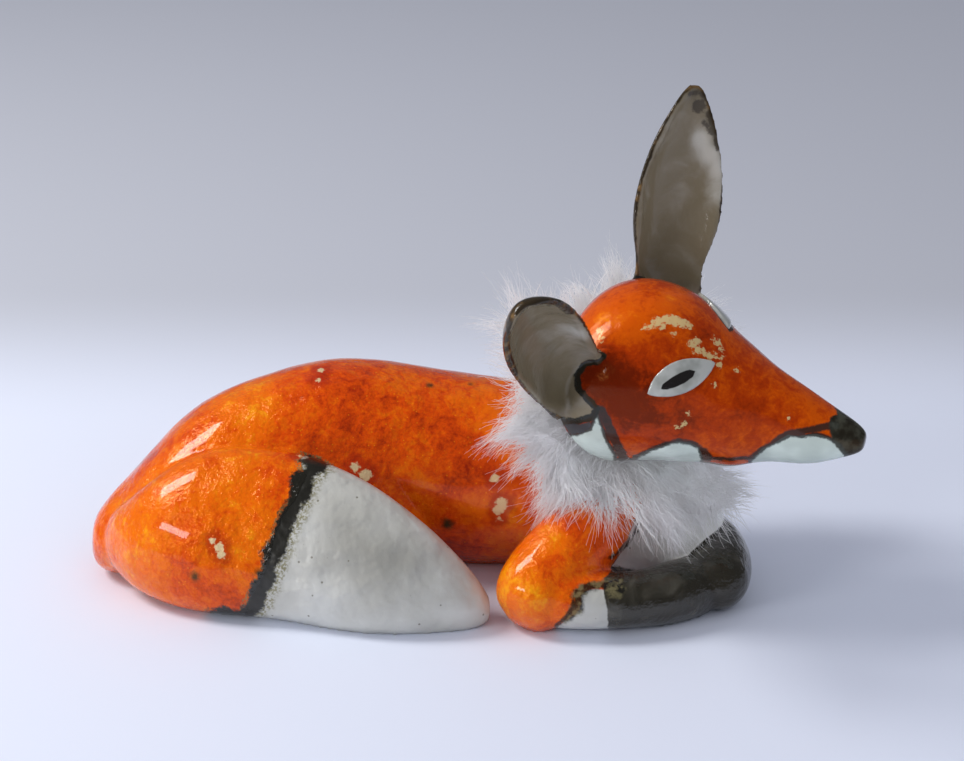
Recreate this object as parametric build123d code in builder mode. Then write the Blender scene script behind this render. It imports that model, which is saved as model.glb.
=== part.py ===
from build123d import *
import os
from math import cos, pi, radians, sin

os.makedirs("parts", exist_ok=True)

# A reclining glazed fox of hollow fired clay with a feather collar and a head that turns.
# The floor is z = 0, +X points to the fox's nose, and -Y is the side of its curled tail.
# The origin lies on the flat base under the middle of the torso.

# Clay
clay_wall = 4.5
# Layer of slip between the tail and the haunch that it leans on
slip_seam = 0.30

# Torso
torso_length = 196.0
torso_width = 62.0
torso_height = 62.0
# Each row: place along the length, sideways place, half width, middle height, half height
torso_shares = (
    (-0.655, -0.33, 0.07, 0.17, 0.07),
    (-0.640, -0.31, 0.20, 0.19, 0.17),
    (-0.595, -0.26, 0.33, 0.245, 0.26),
    (-0.500, -0.17, 0.43, 0.390, 0.415),
    (-0.380, -0.08, 0.49, 0.470, 0.510),
    (-0.250, -0.02, 0.50, 0.510, 0.550),
    (-0.120, 0.00, 0.495, 0.485, 0.535),
    (0.000, -0.01, 0.485, 0.445, 0.520),
    (0.100, -0.05, 0.475, 0.435, 0.495),
    (0.200, -0.14, 0.465, 0.395, 0.455),
    (0.290, -0.25, 0.425, 0.315, 0.370),
    (0.355, -0.31, 0.350, 0.285, 0.270),
    (0.393, -0.34, 0.215, 0.270, 0.180),
    (0.407, -0.34, 0.070, 0.260, 0.070),
)

# Neck
neck_radius = 14.0
neck_root = 34.0
neck_collar_depth = 20.0
neck_gap = 0.4
neck_middle = Vector(0.214 * torso_length, -0.36 * torso_width, 1.00 * torso_height)
neck_lean_shares = (0.67, -0.46, 0.58)

# Cork bungs and the peg between them
bung_radius = 9.0
bung_length = 15.0
bung_fit = 0.05
peg_radius = 3.0
peg_length = 26.0
peg_glue_fit = 0.02
peg_running_fit = 0.06
peg_chamfer = 0.6

# Haunch of the right hind leg
haunch_length = 90.0
haunch_thickness = 36.0
haunch_height = 59.0
haunch_tilt = 12.0
haunch_angles = (-80, -54, -27, 0, 27, 54, 80)
haunch_middle = Vector(-0.275 * torso_length, -0.41 * torso_width, 0.27 * torso_height)

# Tail, a thick leaf that leans on the haunch
# Space between the tip of the tail and the elbow
tail_tip_gap = 2.3
tail_swing = 42.0
tail_width = 56.0
tail_thickness = 28.0
tail_lean = 29.0
tail_root = Vector(-0.560 * torso_length, -0.27 * torso_width, 0.30 * torso_height)
# Each row: reach to the tip, swing to the front, middle height, half width, half thickness
tail_shares = (
    (0.000, 0.00, 0.25, 0.16, 0.40),
    (-0.005, 0.25, 0.30, 0.27, 0.48),
    (0.090, 0.49, 0.40, 0.415, 0.50),
    (0.300, 0.63, 0.445, 0.485, 0.50),
    (0.520, 0.77, 0.41, 0.460, 0.47),
    (0.720, 0.94, 0.32, 0.375, 0.42),
    (0.880, 1.00, 0.21, 0.240, 0.33),
    (0.970, 1.00, 0.12, 0.130, 0.22),
    (1.000, 0.99, 0.09, 0.060, 0.12),
)

# Right foreleg, folded with its elbow on the floor
elbow_middle = Vector(0.092 * torso_length, -0.94 * torso_width, 0.19 * torso_height)
upper_arm_width = 27.0
upper_arm_reach = 26.0
upper_arm_inset = 20.0
upper_arm_rise = 24.0
upper_arm_run = Vector(upper_arm_reach, upper_arm_inset, upper_arm_rise)
forearm_thickness = 19.0
forearm_reach = 50.0
forearm_inset = 9.0
forearm_drop = 3.8
forearm_run = Vector(forearm_reach, forearm_inset, -forearm_drop)
forearm_bow = 8.5
# Each row: place along the limb, half width
upper_arm_shares = ((0.0, 0.50), (0.4, 0.50), (0.7, 0.46), (0.95, 0.34))
forearm_shares = ((0.0, 0.58), (0.35, 0.50), (0.7, 0.49), (1.0, 0.50))

# Left foreleg, curled round the chest
curled_leg_thickness = 21.0
curled_leg_reach = 38.0
curled_leg_bulge = 15.0
curled_leg_start = Vector(0.316 * torso_length, -0.15 * torso_width, 0)
# Each row: reach to the front, bulge along the body, middle height, half thickness
curled_leg_shares = (
    (0.00, 0.00, 0.56, 0.46),
    (0.26, 0.72, 0.54, 0.49),
    (0.60, 1.00, 0.50, 0.50),
    (1.00, 0.95, 0.465, 0.48),
)

# Head
head_length = 98.0
head_width = 57.0
head_height = 58.0
head_yaw = 20.0
head_dip = 8.0
head_roll = 12.0
head_back = neck_middle + Vector(-0.07 * head_length, -0.06 * head_width, 0.21 * head_height)
# Each row: place along the length, rise of the middle, half width, half height
head_shares = (
    (-0.085, 0.00, 0.12, 0.12),
    (-0.065, 0.00, 0.28, 0.28),
    (-0.015, 0.005, 0.43, 0.43),
    (0.065, 0.03, 0.500, 0.510),
    (0.170, 0.07, 0.505, 0.515),
    (0.330, 0.08, 0.445, 0.450),
    (0.450, 0.035, 0.355, 0.370),
    (0.580, 0.005, 0.265, 0.290),
    (0.720, -0.01, 0.195, 0.205),
    (0.820, -0.012, 0.135, 0.140),
    (0.880, -0.002, 0.090, 0.095),
    (0.912, 0.000, 0.060, 0.060),
    (0.922, 0.000, 0.030, 0.030),
)

# Ears, cupped leaves
ear_length = 68.0
ear_width = 34.0
ear_depth = 10.0
ear_wall = 3.4
ear_root = 6.0
# Each row: place along the length, half width, depth
pointed_ear_shares = (
    (0.00, 0.31, 0.60),
    (0.16, 0.39, 0.80),
    (0.32, 0.46, 0.95),
    (0.50, 0.50, 1.00),
    (0.69, 0.42, 0.85),
    (0.84, 0.29, 0.62),
    (0.94, 0.17, 0.40),
    (0.985, 0.095, 0.26),
    (1.00, 0.06, 0.18),
)
rounded_ear_shares = (
    (0.00, 0.31, 0.60),
    (0.16, 0.36, 0.80),
    (0.32, 0.39, 0.95),
    (0.50, 0.41, 1.00),
    (0.69, 0.40, 0.92),
    (0.84, 0.34, 0.78),
    (0.94, 0.235, 0.56),
    (0.985, 0.135, 0.38),
    (1.00, 0.08, 0.26),
)
# Place in the head as shares of its length, width and height, then the ear's direction and opening
left_ear_place_shares = (0.165, 0.40, 0.33)
left_ear_lean_shares = (0.13, 0.25, 0.96)
left_ear_open_shares = (0.45, -0.85, 0.16)
right_ear_place_shares = (0.04, -0.43, 0.13)
right_ear_lean_shares = (-0.27, -0.70, 0.66)
right_ear_open_shares = (0.58, -0.68, -0.45)

# Eyes, raised almond pads
eye_length = 23.0
eye_width = 9.5
eye_rise = 1.8
eye_slant = 48.0
eye_place_shares = (0.348, 0.05)
left_eye_angle = 54.0
right_eye_angle = 41.0

# Feather collar on its cord
cord_radius = 1.6
cord_seat = 0.05
feather_clearance = 0.35
head_clearance = 1.2
head_turns = (-30, -15, 0, 15, 30)
collar_radius = 37.0
collar_thickness = 14.0
collar_tufts = 11
tuft_depth = 3.0
# The down hangs further out under the chin than behind the ears
collar_hang = 6.0
collar_aside = 3.0
bib_radius = 21.0
bib_drop = 29.0
bib_aside = 14.0
bib_thickness = 9.0
# Each row: place from the middle to the rim, drop of the near face, drop of the far face
collar_shares = (
    (0.00, 0.03, 0.80),
    (0.40, 0.03, 0.85),
    (0.58, 0.03, 0.96),
    (0.74, 0.06, 1.00),
    (0.91, 0.18, 0.88),
    (1.00, 0.50, 0.50),
)

# Angles of the sections that close a limb's end
dome_angles = (35, 60, 80)

# The tail reaches along the body until it nearly meets the elbow
tail_length = elbow_middle.X - 0.5 * upper_arm_width - tail_tip_gap - tail_root.X

# Directions
neck_lean = Vector(*neck_lean_shares).normalized()
neck_side = Vector(0, 0, 1).cross(neck_lean).normalized()
neck_plane = Plane(origin=neck_middle, x_dir=neck_side, z_dir=neck_lean)
level_forward = Vector(cos(radians(head_yaw)), -sin(radians(head_yaw)), 0)
level_left = Vector(sin(radians(head_yaw)), cos(radians(head_yaw)), 0)
head_forward = level_forward * cos(radians(head_dip)) + Vector(0, 0, -sin(radians(head_dip)))
head_left = level_left.rotate(Axis((0, 0, 0), head_forward), head_roll)
head_plane = Plane(origin=head_back, x_dir=head_left, z_dir=head_forward)


def torso_sections(rows, growth):
    sections = []
    for along, sideways, wide, middle, high in rows:
        place = Vector(along * torso_length, sideways * torso_width, middle * torso_height)
        with BuildSketch(Plane(origin=place, x_dir=(0, 1, 0), z_dir=(1, 0, 0))) as section:
            Ellipse(wide * torso_width + growth, high * torso_height + growth)
        sections.append(section.sketch)
    return sections


def head_sections(rows, growth):
    sections = []
    for along, rise, wide, high in rows:
        with BuildSketch(head_plane.offset(along * head_length)) as section:
            with Locations((0, rise * head_height)):
                Ellipse(wide * head_width + growth, high * head_height + growth)
        sections.append(section.sketch)
    return sections


def haunch_sections(growth):
    sections = []
    plane = Plane(origin=haunch_middle, x_dir=(1, 0, 0), z_dir=(0, -1, 0)).rotated((0, 0, haunch_tilt))
    for angle in haunch_angles:
        step = sin(radians(angle)) * (0.5 * haunch_thickness + growth)
        width = cos(radians(angle))
        with BuildSketch(plane.offset(step)) as section:
            Ellipse((0.5 * haunch_length + growth) * width, (0.5 * haunch_height + growth) * width)
        sections.append(section.sketch)
    return sections


def limb_sections(middles, radii):
    # Round sections along the limb, closed by a dome at each end
    stations = []
    for row, (middle, radius) in enumerate(zip(middles, radii)):
        before = middles[max(row - 1, 0)]
        after = middles[min(row + 1, len(middles) - 1)]
        stations.append((middle, (after - before).normalized(), radius))
    first_middle, first_heading, first_radius = stations[0]
    last_middle, last_heading, last_radius = stations[-1]
    for angle in dome_angles:
        step = sin(radians(angle))
        width = cos(radians(angle))
        stations.insert(0, (first_middle - first_heading * step * first_radius, first_heading, first_radius * width))
        stations.append((last_middle + last_heading * step * last_radius, last_heading, last_radius * width))
    sections = []
    for middle, heading, radius in stations:
        with BuildSketch(Plane(origin=middle, x_dir=Vector(0, 0, 1).cross(heading), z_dir=heading)) as section:
            Circle(radius)
        sections.append(section.sketch)
    return sections


def ear_sections(shape_shares, place_shares, lean_shares, open_shares):
    sections = []
    lean = Vector(*lean_shares).normalized()
    across = Vector(*open_shares).cross(lean).normalized()
    along_share, left_share, up_share = place_shares
    local = (left_share * head_width, up_share * head_height, along_share * head_length)
    root = head_plane.from_local_coords(local) - lean * ear_root
    for along, wide, deep in shape_shares:
        half = wide * ear_width
        depth = deep * ear_depth
        station = Plane(origin=root + lean * (along * (ear_length + ear_root)), x_dir=across, z_dir=lean)
        rim = 0.8 * min(half, ear_wall)
        floor = 0.8 * min(depth, ear_wall)
        with BuildSketch(station) as section:
            with BuildLine():
                ThreePointArc((-half, 0), (0, -depth), (half, 0))
                Line((half, 0), (half - rim, 0))
                ThreePointArc((half - rim, 0), (0, -depth + floor), (-half + rim, 0))
                Line((-half + rim, 0), (-half, 0))
            make_face()
        sections.append(section.sketch)
    return sections


# Outer forms that the limbs are cut to
with BuildPart() as torso_outside:
    loft(torso_sections(torso_shares, 0))
    split(bisect_by=Plane.XY, keep=Keep.TOP)

with BuildPart() as head_outside:
    loft(head_sections(head_shares, 0))

# Hollow torso with its neck opening
with BuildPart() as torso_hollow:
    loft(torso_sections(torso_shares[1:-1], -clay_wall))
    split(bisect_by=Plane.XY.offset(clay_wall), keep=Keep.TOP)

with BuildPart() as torso:
    loft(torso_sections(torso_shares, 0))
    with BuildSketch(neck_plane):
        Circle(neck_radius)
    extrude(amount=-neck_root)
    split(bisect_by=Plane.XY, keep=Keep.TOP)
    add(torso_hollow.part, mode=Mode.SUBTRACT)
    with BuildSketch(neck_plane):
        Circle(neck_radius)
    extrude(amount=-neck_collar_depth)
    with BuildSketch(neck_plane):
        Circle(bung_radius)
    extrude(amount=-neck_root, mode=Mode.SUBTRACT)
torso.part.label = "torso"
export_step(torso.part, "parts/torso.step")

# Haunch
with BuildPart() as haunch_right:
    loft(haunch_sections(0))
    split(bisect_by=Plane.XY, keep=Keep.TOP)
    add(torso_outside.part, mode=Mode.SUBTRACT)
haunch_right.part.label = "haunch_right"
export_step(haunch_right.part, "parts/haunch_right.step")

# Tail
tail_middles = []
for reach, swing, middle, wide, thick in tail_shares:
    tail_middles.append(tail_root + Vector(reach * tail_length, -swing * tail_swing, 0))
tail_sections = []
for row, (reach, swing, middle, wide, thick) in enumerate(tail_shares):
    before = tail_middles[max(row - 1, 0)]
    after = tail_middles[min(row + 1, len(tail_middles) - 1)]
    heading = (after - before).normalized()
    place = Vector(tail_middles[row].X, tail_middles[row].Y, middle * tail_width)
    with BuildSketch(Plane(origin=place, x_dir=heading.cross(Vector(0, 0, 1)), z_dir=heading)) as section:
        Ellipse(thick * tail_thickness, wide * tail_width, rotation=-tail_lean)
    tail_sections.append(section.sketch)
with BuildPart() as haunch_room:
    loft(haunch_sections(slip_seam))
with BuildPart() as tail:
    loft(tail_sections)
    split(bisect_by=Plane.XY, keep=Keep.TOP)
    add(torso_outside.part, mode=Mode.SUBTRACT)
    add(haunch_room.part, mode=Mode.SUBTRACT)
tail.part.label = "tail"
export_step(tail.part, "parts/tail.step")

# Right foreleg
upper_arm_middles = [elbow_middle + upper_arm_run * share for share, width_share in upper_arm_shares]
upper_arm_radii = [width_share * upper_arm_width for share, width_share in upper_arm_shares]
forearm_middles = []
for share, width_share in forearm_shares:
    forearm_middles.append(elbow_middle + forearm_run * share + Vector(0, -forearm_bow * sin(pi * share), 0))
forearm_radii = [width_share * forearm_thickness for share, width_share in forearm_shares]
with BuildPart() as foreleg_right:
    loft(limb_sections(upper_arm_middles, upper_arm_radii))
    loft(limb_sections(forearm_middles, forearm_radii))
    split(bisect_by=Plane.XY, keep=Keep.TOP)
    add(torso_outside.part, mode=Mode.SUBTRACT)
foreleg_right.part.label = "foreleg_right"
export_step(foreleg_right.part, "parts/foreleg_right.step")

# Left foreleg
curled_leg_middles = []
for reach, bulge, middle, thick in curled_leg_shares:
    step = Vector(bulge * curled_leg_bulge, -reach * curled_leg_reach, middle * curled_leg_thickness)
    curled_leg_middles.append(curled_leg_start + step)
curled_leg_radii = [thick * curled_leg_thickness for reach, bulge, middle, thick in curled_leg_shares]
with BuildPart() as foreleg_left:
    loft(limb_sections(curled_leg_middles, curled_leg_radii))
    split(bisect_by=Plane.XY, keep=Keep.TOP)
    add(torso_outside.part, mode=Mode.SUBTRACT)
    add(foreleg_right.part, mode=Mode.SUBTRACT)
foreleg_left.part.label = "foreleg_left"
export_step(foreleg_left.part, "parts/foreleg_left.step")

# Head shell
head_seat = neck_plane.offset(neck_gap)
with BuildPart() as head_hollow:
    loft(head_sections(head_shares[1:-3], -clay_wall))
    split(bisect_by=head_seat.offset(clay_wall), keep=Keep.TOP)

with BuildPart() as head_shell:
    loft(head_sections(head_shares, 0))
    split(bisect_by=head_seat, keep=Keep.TOP)
    add(head_hollow.part, mode=Mode.SUBTRACT)
    with BuildSketch(head_seat):
        Circle(neck_radius)
    extrude(amount=neck_collar_depth)
    with BuildSketch(head_seat):
        Circle(bung_radius)
    extrude(amount=neck_collar_depth, mode=Mode.SUBTRACT)
head_shell.part.label = "head_shell"
export_step(head_shell.part, "parts/head_shell.step")

# Ears
for name, shape_shares, place_shares, lean_shares, open_shares in (
    ("ear_left", pointed_ear_shares, left_ear_place_shares, left_ear_lean_shares, left_ear_open_shares),
    ("ear_right", rounded_ear_shares, right_ear_place_shares, right_ear_lean_shares, right_ear_open_shares),
):
    with BuildPart() as ear:
        loft(ear_sections(shape_shares, place_shares, lean_shares, open_shares))
        add(head_outside.part, mode=Mode.SUBTRACT)
    ear.part.label = name
    export_step(ear.part, "parts/" + name + ".step")

# Eyes
eye_along_share, eye_rise_share = eye_place_shares
with BuildPart() as eye_skin:
    loft(head_sections(head_shares, eye_rise))
for name, side, eye_angle in (("eye_left", 1, left_eye_angle), ("eye_right", -1, right_eye_angle)):
    outward = head_plane.x_dir * (side * cos(radians(eye_angle))) + head_plane.y_dir * sin(radians(eye_angle))
    upward = head_plane.x_dir * (-side * sin(radians(eye_angle))) + head_plane.y_dir * cos(radians(eye_angle))
    along = head_plane.z_dir * cos(radians(eye_slant)) + upward * sin(radians(eye_slant))
    middle = head_plane.from_local_coords((0, eye_rise_share * head_height, eye_along_share * head_length))
    eye_plane = Plane(origin=middle, x_dir=along, z_dir=outward)
    with BuildPart() as eye:
        with BuildSketch(eye_plane):
            with BuildLine():
                ThreePointArc((-0.5 * eye_length, 0), (0, 0.5 * eye_width), (0.5 * eye_length, 0))
                ThreePointArc((0.5 * eye_length, 0), (0, -0.5 * eye_width), (-0.5 * eye_length, 0))
            make_face()
        extrude(amount=head_width)
        add(eye_skin.part, mode=Mode.INTERSECT)
        add(head_outside.part, mode=Mode.SUBTRACT)
    eye.part.label = name
    export_step(eye.part, "parts/" + name + ".step")

# Bung and peg of the neck
with BuildPart() as neck_cork:
    with BuildSketch(neck_plane):
        Circle(bung_radius - bung_fit)
        Circle(peg_radius + peg_glue_fit, mode=Mode.SUBTRACT)
    extrude(amount=-bung_length)
neck_cork.part.label = "neck_cork"
export_step(neck_cork.part, "parts/neck_cork.step")

with BuildPart() as neck_peg:
    with BuildSketch(neck_plane.offset(-bung_length)):
        Circle(peg_radius)
    extrude(amount=peg_length)
    chamfer(neck_peg.edges().filter_by(GeomType.CIRCLE), length=peg_chamfer)
neck_peg.part.label = "neck_peg"
export_step(neck_peg.part, "parts/neck_peg.step")

with BuildPart() as head_cork:
    with BuildSketch(head_seat):
        Circle(bung_radius - bung_fit)
        Circle(peg_radius + peg_running_fit, mode=Mode.SUBTRACT)
    extrude(amount=bung_length)
head_cork.part.label = "head_cork"
export_step(head_cork.part, "parts/head_cork.step")

# Feather collar on its cord
collar_axis = Axis(neck_middle, neck_lean)
ring_plane = Plane(origin=neck_middle, x_dir=neck_side, z_dir=neck_side.cross(neck_lean))
cord_middle = neck_radius + cord_seat + cord_radius
cord_drop = cord_radius + feather_clearance
with BuildPart() as collar_cord:
    with BuildSketch(ring_plane):
        with Locations((cord_middle, -cord_drop)):
            Circle(cord_radius)
    revolve(axis=collar_axis)
collar_cord.part.label = "collar_cord"
export_step(collar_cord.part, "parts/collar_cord.step")

collar_inner_radius = cord_middle + cord_radius + feather_clearance
collar_middle = neck_plane.from_local_coords(Vector(collar_aside, -collar_hang, 0))
ring_plane = Plane(origin=collar_middle, x_dir=neck_side, z_dir=neck_side.cross(neck_lean))
near_face = []
far_face = []
for outward_share, near_share, far_share in collar_shares:
    reach = outward_share * (collar_radius + tuft_depth)
    near_face.append((reach, -feather_clearance - near_share * collar_thickness))
    far_face.append((reach, -feather_clearance - far_share * collar_thickness))
tuft_steps = 4 * collar_tufts
tuft_rim = []
for step in range(tuft_steps):
    angle = 2 * pi * step / tuft_steps
    reach = collar_radius + tuft_depth * cos(collar_tufts * angle)
    tuft_rim.append((collar_aside + reach * cos(angle), reach * sin(angle) - collar_hang))
with BuildPart() as feather_room:
    loft(torso_sections(torso_shares, feather_clearance))
with BuildPart() as head_room:
    loft(head_sections(head_shares, head_clearance))
    split(bisect_by=neck_plane.offset(-feather_clearance), keep=Keep.TOP)
with BuildPart() as arm_room:
    loft(limb_sections(upper_arm_middles, [radius + feather_clearance for radius in upper_arm_radii]))
with BuildPart() as tuft_prism:
    with BuildSketch(neck_plane):
        with BuildLine():
            Spline(tuft_rim, periodic=True)
        make_face()
    extrude(amount=-2 * collar_thickness)
# The bib of the collar hangs over the chest, clear of the turning head
with BuildPart() as chest_bib:
    loft(torso_sections(torso_shares, bib_thickness))
    with BuildSketch(neck_plane.offset(-collar_thickness)):
        with Locations((bib_aside, -bib_drop)):
            Circle(bib_radius)
    extrude(amount=3 * collar_thickness, mode=Mode.INTERSECT)
    with BuildSketch(neck_plane):
        Circle(collar_inner_radius)
    extrude(amount=-neck_root, mode=Mode.SUBTRACT)
    for turn in head_turns:
        room = head_room.part.rotate(collar_axis, turn)
        add(room, mode=Mode.SUBTRACT)
with BuildPart() as collar_feathers:
    with BuildSketch(ring_plane):
        with BuildLine():
            Spline(near_face)
            Spline(far_face)
            Line(near_face[0], far_face[0])
        make_face()
    revolve(axis=Axis(collar_middle, neck_lean))
    add(tuft_prism.part, mode=Mode.INTERSECT)
    with BuildSketch(neck_plane):
        Circle(collar_inner_radius)
    extrude(amount=-neck_root, mode=Mode.SUBTRACT)
    add(chest_bib.part)
    add(feather_room.part, mode=Mode.SUBTRACT)
    add(arm_room.part, mode=Mode.SUBTRACT)
collar_feathers.part.label = "collar_feathers"
export_step(collar_feathers.part, "parts/collar_feathers.step")
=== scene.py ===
import math

import bmesh
import bpy
import numpy as np
from mathutils import Matrix, Vector, noise
from mathutils.bvhtree import BVHTree


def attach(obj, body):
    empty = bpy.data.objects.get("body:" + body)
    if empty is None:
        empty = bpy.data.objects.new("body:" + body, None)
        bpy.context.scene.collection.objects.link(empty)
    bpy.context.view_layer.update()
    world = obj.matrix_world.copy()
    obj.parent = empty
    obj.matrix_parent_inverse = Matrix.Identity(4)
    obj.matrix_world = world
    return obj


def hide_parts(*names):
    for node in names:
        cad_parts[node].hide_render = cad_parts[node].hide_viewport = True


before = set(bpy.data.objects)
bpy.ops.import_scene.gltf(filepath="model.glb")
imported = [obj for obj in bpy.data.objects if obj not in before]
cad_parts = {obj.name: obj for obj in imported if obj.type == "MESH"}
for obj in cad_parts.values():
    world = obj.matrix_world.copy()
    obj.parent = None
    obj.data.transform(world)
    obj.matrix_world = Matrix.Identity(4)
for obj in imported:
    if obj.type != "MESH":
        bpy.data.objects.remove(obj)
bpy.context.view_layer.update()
mm = 0.001

# ---- camera ----
view = {
    "target": (0.0, -0.01922, 0.0673),  # middle of the picture, metres
    "distance": 0.80,
    "elevation": 22.0,
    "lens": 92.2,
    "sensor": 36.0,
    "width": 964,
    "height": 761,
}
viewTilt = math.radians(view["elevation"])
viewRight = np.array((1.0, 0.0, 0.0))
viewUp = np.array((0.0, math.sin(viewTilt), math.cos(viewTilt)))
viewBack = np.array((0.0, -math.cos(viewTilt), math.sin(viewTilt)))
viewPlace = np.array(view["target"]) + view["distance"] * viewBack
focalPixels = view["lens"] / view["sensor"] * view["width"]
pixelsPerMetre = focalPixels / view["distance"]


def pixelOf(points):
    # where points of the model fall in the picture
    offset = points - viewPlace
    depth = -(offset @ viewBack)
    across = view["width"] / 2 + focalPixels * (offset @ viewRight) / depth
    down = view["height"] / 2 - focalPixels * (offset @ viewUp) / depth
    return np.stack((across, down), axis=1)


def rayThrough(pixel):
    across = (pixel[0] - view["width"] / 2) / focalPixels
    up = (view["height"] / 2 - pixel[1]) / focalPixels
    return Vector(-viewBack + viewRight * across + viewUp * up).normalized()


camera = bpy.data.objects.new("camera", bpy.data.cameras.new("camera"))
camera.data.lens = view["lens"]
camera.data.sensor_width = view["sensor"]
camera.data.clip_start = 0.01
axes = Matrix((viewRight, viewUp, viewBack)).transposed().to_4x4()
camera.matrix_world = Matrix.Translation(viewPlace) @ axes
bpy.context.scene.collection.objects.link(camera)
bpy.context.scene.camera = camera

# ---- mesh helpers ----


def placesOf(mesh):
    flat = np.empty(len(mesh.vertices) * 3)
    mesh.vertices.foreach_get("co", flat)
    return flat.reshape(-1, 3)


def normalsOf(mesh):
    flat = np.empty(len(mesh.vertices) * 3)
    mesh.vertex_normals.foreach_get("vector", flat)
    return flat.reshape(-1, 3)


def edgesOf(mesh):
    flat = np.empty(len(mesh.edges) * 2, dtype=np.int32)
    mesh.edges.foreach_get("vertices", flat)
    return flat.reshape(-1, 2)


def setPlaces(mesh, places):
    mesh.vertices.foreach_set("co", places.ravel())
    mesh.update()


def keepField(mesh, name, values):
    field = mesh.attributes.new(name, "FLOAT", "POINT")
    field.data.foreach_set("value", values.astype(np.float32))


def cadCopy(node):
    shape = bmesh.new()
    shape.from_mesh(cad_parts[node].data)
    bmesh.ops.remove_doubles(shape, verts=shape.verts, dist=1e-6)
    return shape


def treeOf(node):
    shape = cadCopy(node)
    tree = BVHTree.FromBMesh(shape)
    shape.free()
    return tree


def distanceTo(tree, places):
    return np.array([tree.find_nearest(Vector(place))[3] for place in places])


def show(name, mesh):
    thing = bpy.data.objects.new(name, mesh)
    bpy.context.scene.collection.objects.link(thing)
    return thing


def finishedMesh(thing):
    # the object's modifiers become a plain mesh
    bpy.context.view_layer.update()
    graph = bpy.context.evaluated_depsgraph_get()
    mesh = bpy.data.meshes.new_from_object(thing.evaluated_get(graph))
    old = thing.data
    thing.modifiers.clear()
    thing.data = mesh
    bpy.data.meshes.remove(old)
    return mesh


def fuseClay(name, nodes, voxel, plugs=()):
    # pressed-on clay: the solids become one skin, as wet clay smoothed over its seams
    joined = bmesh.new()
    for node in nodes:
        shape = cadCopy(node)
        mesh = bpy.data.meshes.new(name)
        shape.to_mesh(mesh)
        shape.free()
        joined.from_mesh(mesh)
        bpy.data.meshes.remove(mesh)
    for place, radius, depth in plugs:
        turn = Vector((0, 0, 1)).rotation_difference(neckAxis).to_matrix().to_4x4()
        bmesh.ops.create_cone(joined, cap_ends=True, segments=48, radius1=radius, radius2=radius,
                              depth=depth, matrix=Matrix.Translation(place) @ turn)
    mesh = bpy.data.meshes.new(name)
    joined.to_mesh(mesh)
    joined.free()
    thing = show(name, mesh)
    skin = thing.modifiers.new("skin", "REMESH")
    skin.mode = "VOXEL"
    skin.voxel_size = voxel
    skin.use_smooth_shade = True
    mesh = finishedMesh(thing)
    dropIslands(mesh)
    return thing


def dropIslands(mesh):
    # only the largest connected skin stays
    shape = bmesh.new()
    shape.from_mesh(mesh)
    shape.verts.ensure_lookup_table()
    label = [-1] * len(shape.verts)
    sizes = []
    for start in shape.verts:
        if label[start.index] >= 0:
            continue
        island = len(sizes)
        label[start.index] = island
        stack = [start]
        size = 0
        while stack:
            vertex = stack.pop()
            size += 1
            for edge in vertex.link_edges:
                other = edge.other_vert(vertex)
                if label[other.index] < 0:
                    label[other.index] = island
                    stack.append(other)
        sizes.append(size)
    keep = sizes.index(max(sizes))
    loose = [vertex for vertex in shape.verts if label[vertex.index] != keep]
    bmesh.ops.delete(shape, geom=loose, context="VERTS")
    shape.to_mesh(mesh)
    shape.free()
    mesh.update()


def relax(places, edges, rounds, share=0.5, back=-0.53):
    # smooths small steps without drawing the shape in
    count = np.bincount(edges.ravel(), minlength=len(places))[:, None]
    for step in range(2 * rounds):
        pull = share if step % 2 == 0 else back
        total = np.empty_like(places)
        for axis in range(3):
            total[:, axis] = (
                np.bincount(edges[:, 0], places[edges[:, 1], axis], minlength=len(places))
                + np.bincount(edges[:, 1], places[edges[:, 0], axis], minlength=len(places)))
        places = places + pull * (total / count - places)
    return places


def lumps(places, size, seed):
    # slow noise from -1 to 1, one value for each place
    shift = Vector((seed, 2.0 * seed, -seed))
    return np.array([noise.noise(Vector(place) / size + shift) for place in places])


def areaField(pixels, corners):
    # distance inside (+) or outside (-) of an area of the picture, in metres on the model
    corners = np.array(corners, dtype=float)
    ends = np.roll(corners, -1, axis=0)
    nearest = np.full(len(pixels), 1e9)
    inside = np.zeros(len(pixels), dtype=bool)
    for start, end in zip(corners, ends):
        run = end - start
        share = np.clip(((pixels - start) @ run) / (run @ run), 0, 1)
        nearest = np.minimum(nearest, np.linalg.norm(pixels - start - share[:, None] * run, axis=1))
        crosses = (start[1] > pixels[:, 1]) != (end[1] > pixels[:, 1])
        rise = run[1] if run[1] != 0 else 1.0
        at = start[0] + (pixels[:, 1] - start[1]) * run[0] / rise
        inside ^= crosses & (pixels[:, 0] < at)
    return np.where(inside, nearest, -nearest) / pixelsPerMetre


def lineField(pixels, points, halfWidth):
    # how far inside a stroke of the brush, in metres on the model
    points = np.array(points, dtype=float)
    nearest = np.full(len(pixels), 1e9)
    for start, end in zip(points[:-1], points[1:]):
        run = end - start
        share = np.clip(((pixels - start) @ run) / (run @ run), 0, 1)
        nearest = np.minimum(nearest, np.linalg.norm(pixels - start - share[:, None] * run, axis=1))
    return (halfWidth - nearest) / pixelsPerMetre


def spotField(places, tree, spots):
    # round marks, each given by its pixel and its radius in pixels
    field = np.full(len(places), -0.05)
    for across, down, radius in spots:
        hit = tree.ray_cast(Vector(viewPlace), rayThrough((across, down)))[0]
        if hit is None:
            print("no clay at pixel", across, down)
            continue
        distance = np.linalg.norm(places - np.array(hit), axis=1)
        field = np.maximum(field, radius / pixelsPerMetre - distance)
    return field


def toneField(places, tree, blobs):
    # soft clouds of colour: pixel, radius in pixels, strength
    field = np.zeros(len(places))
    for across, down, radius, strength in blobs:
        hit = tree.ray_cast(Vector(viewPlace), rayThrough((across, down)))[0]
        if hit is None:
            print("no clay at pixel", across, down)
            continue
        distance = np.linalg.norm(places - np.array(hit), axis=1)
        field += strength * np.exp(-((distance * pixelsPerMetre / radius) ** 2))
    return field


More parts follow.
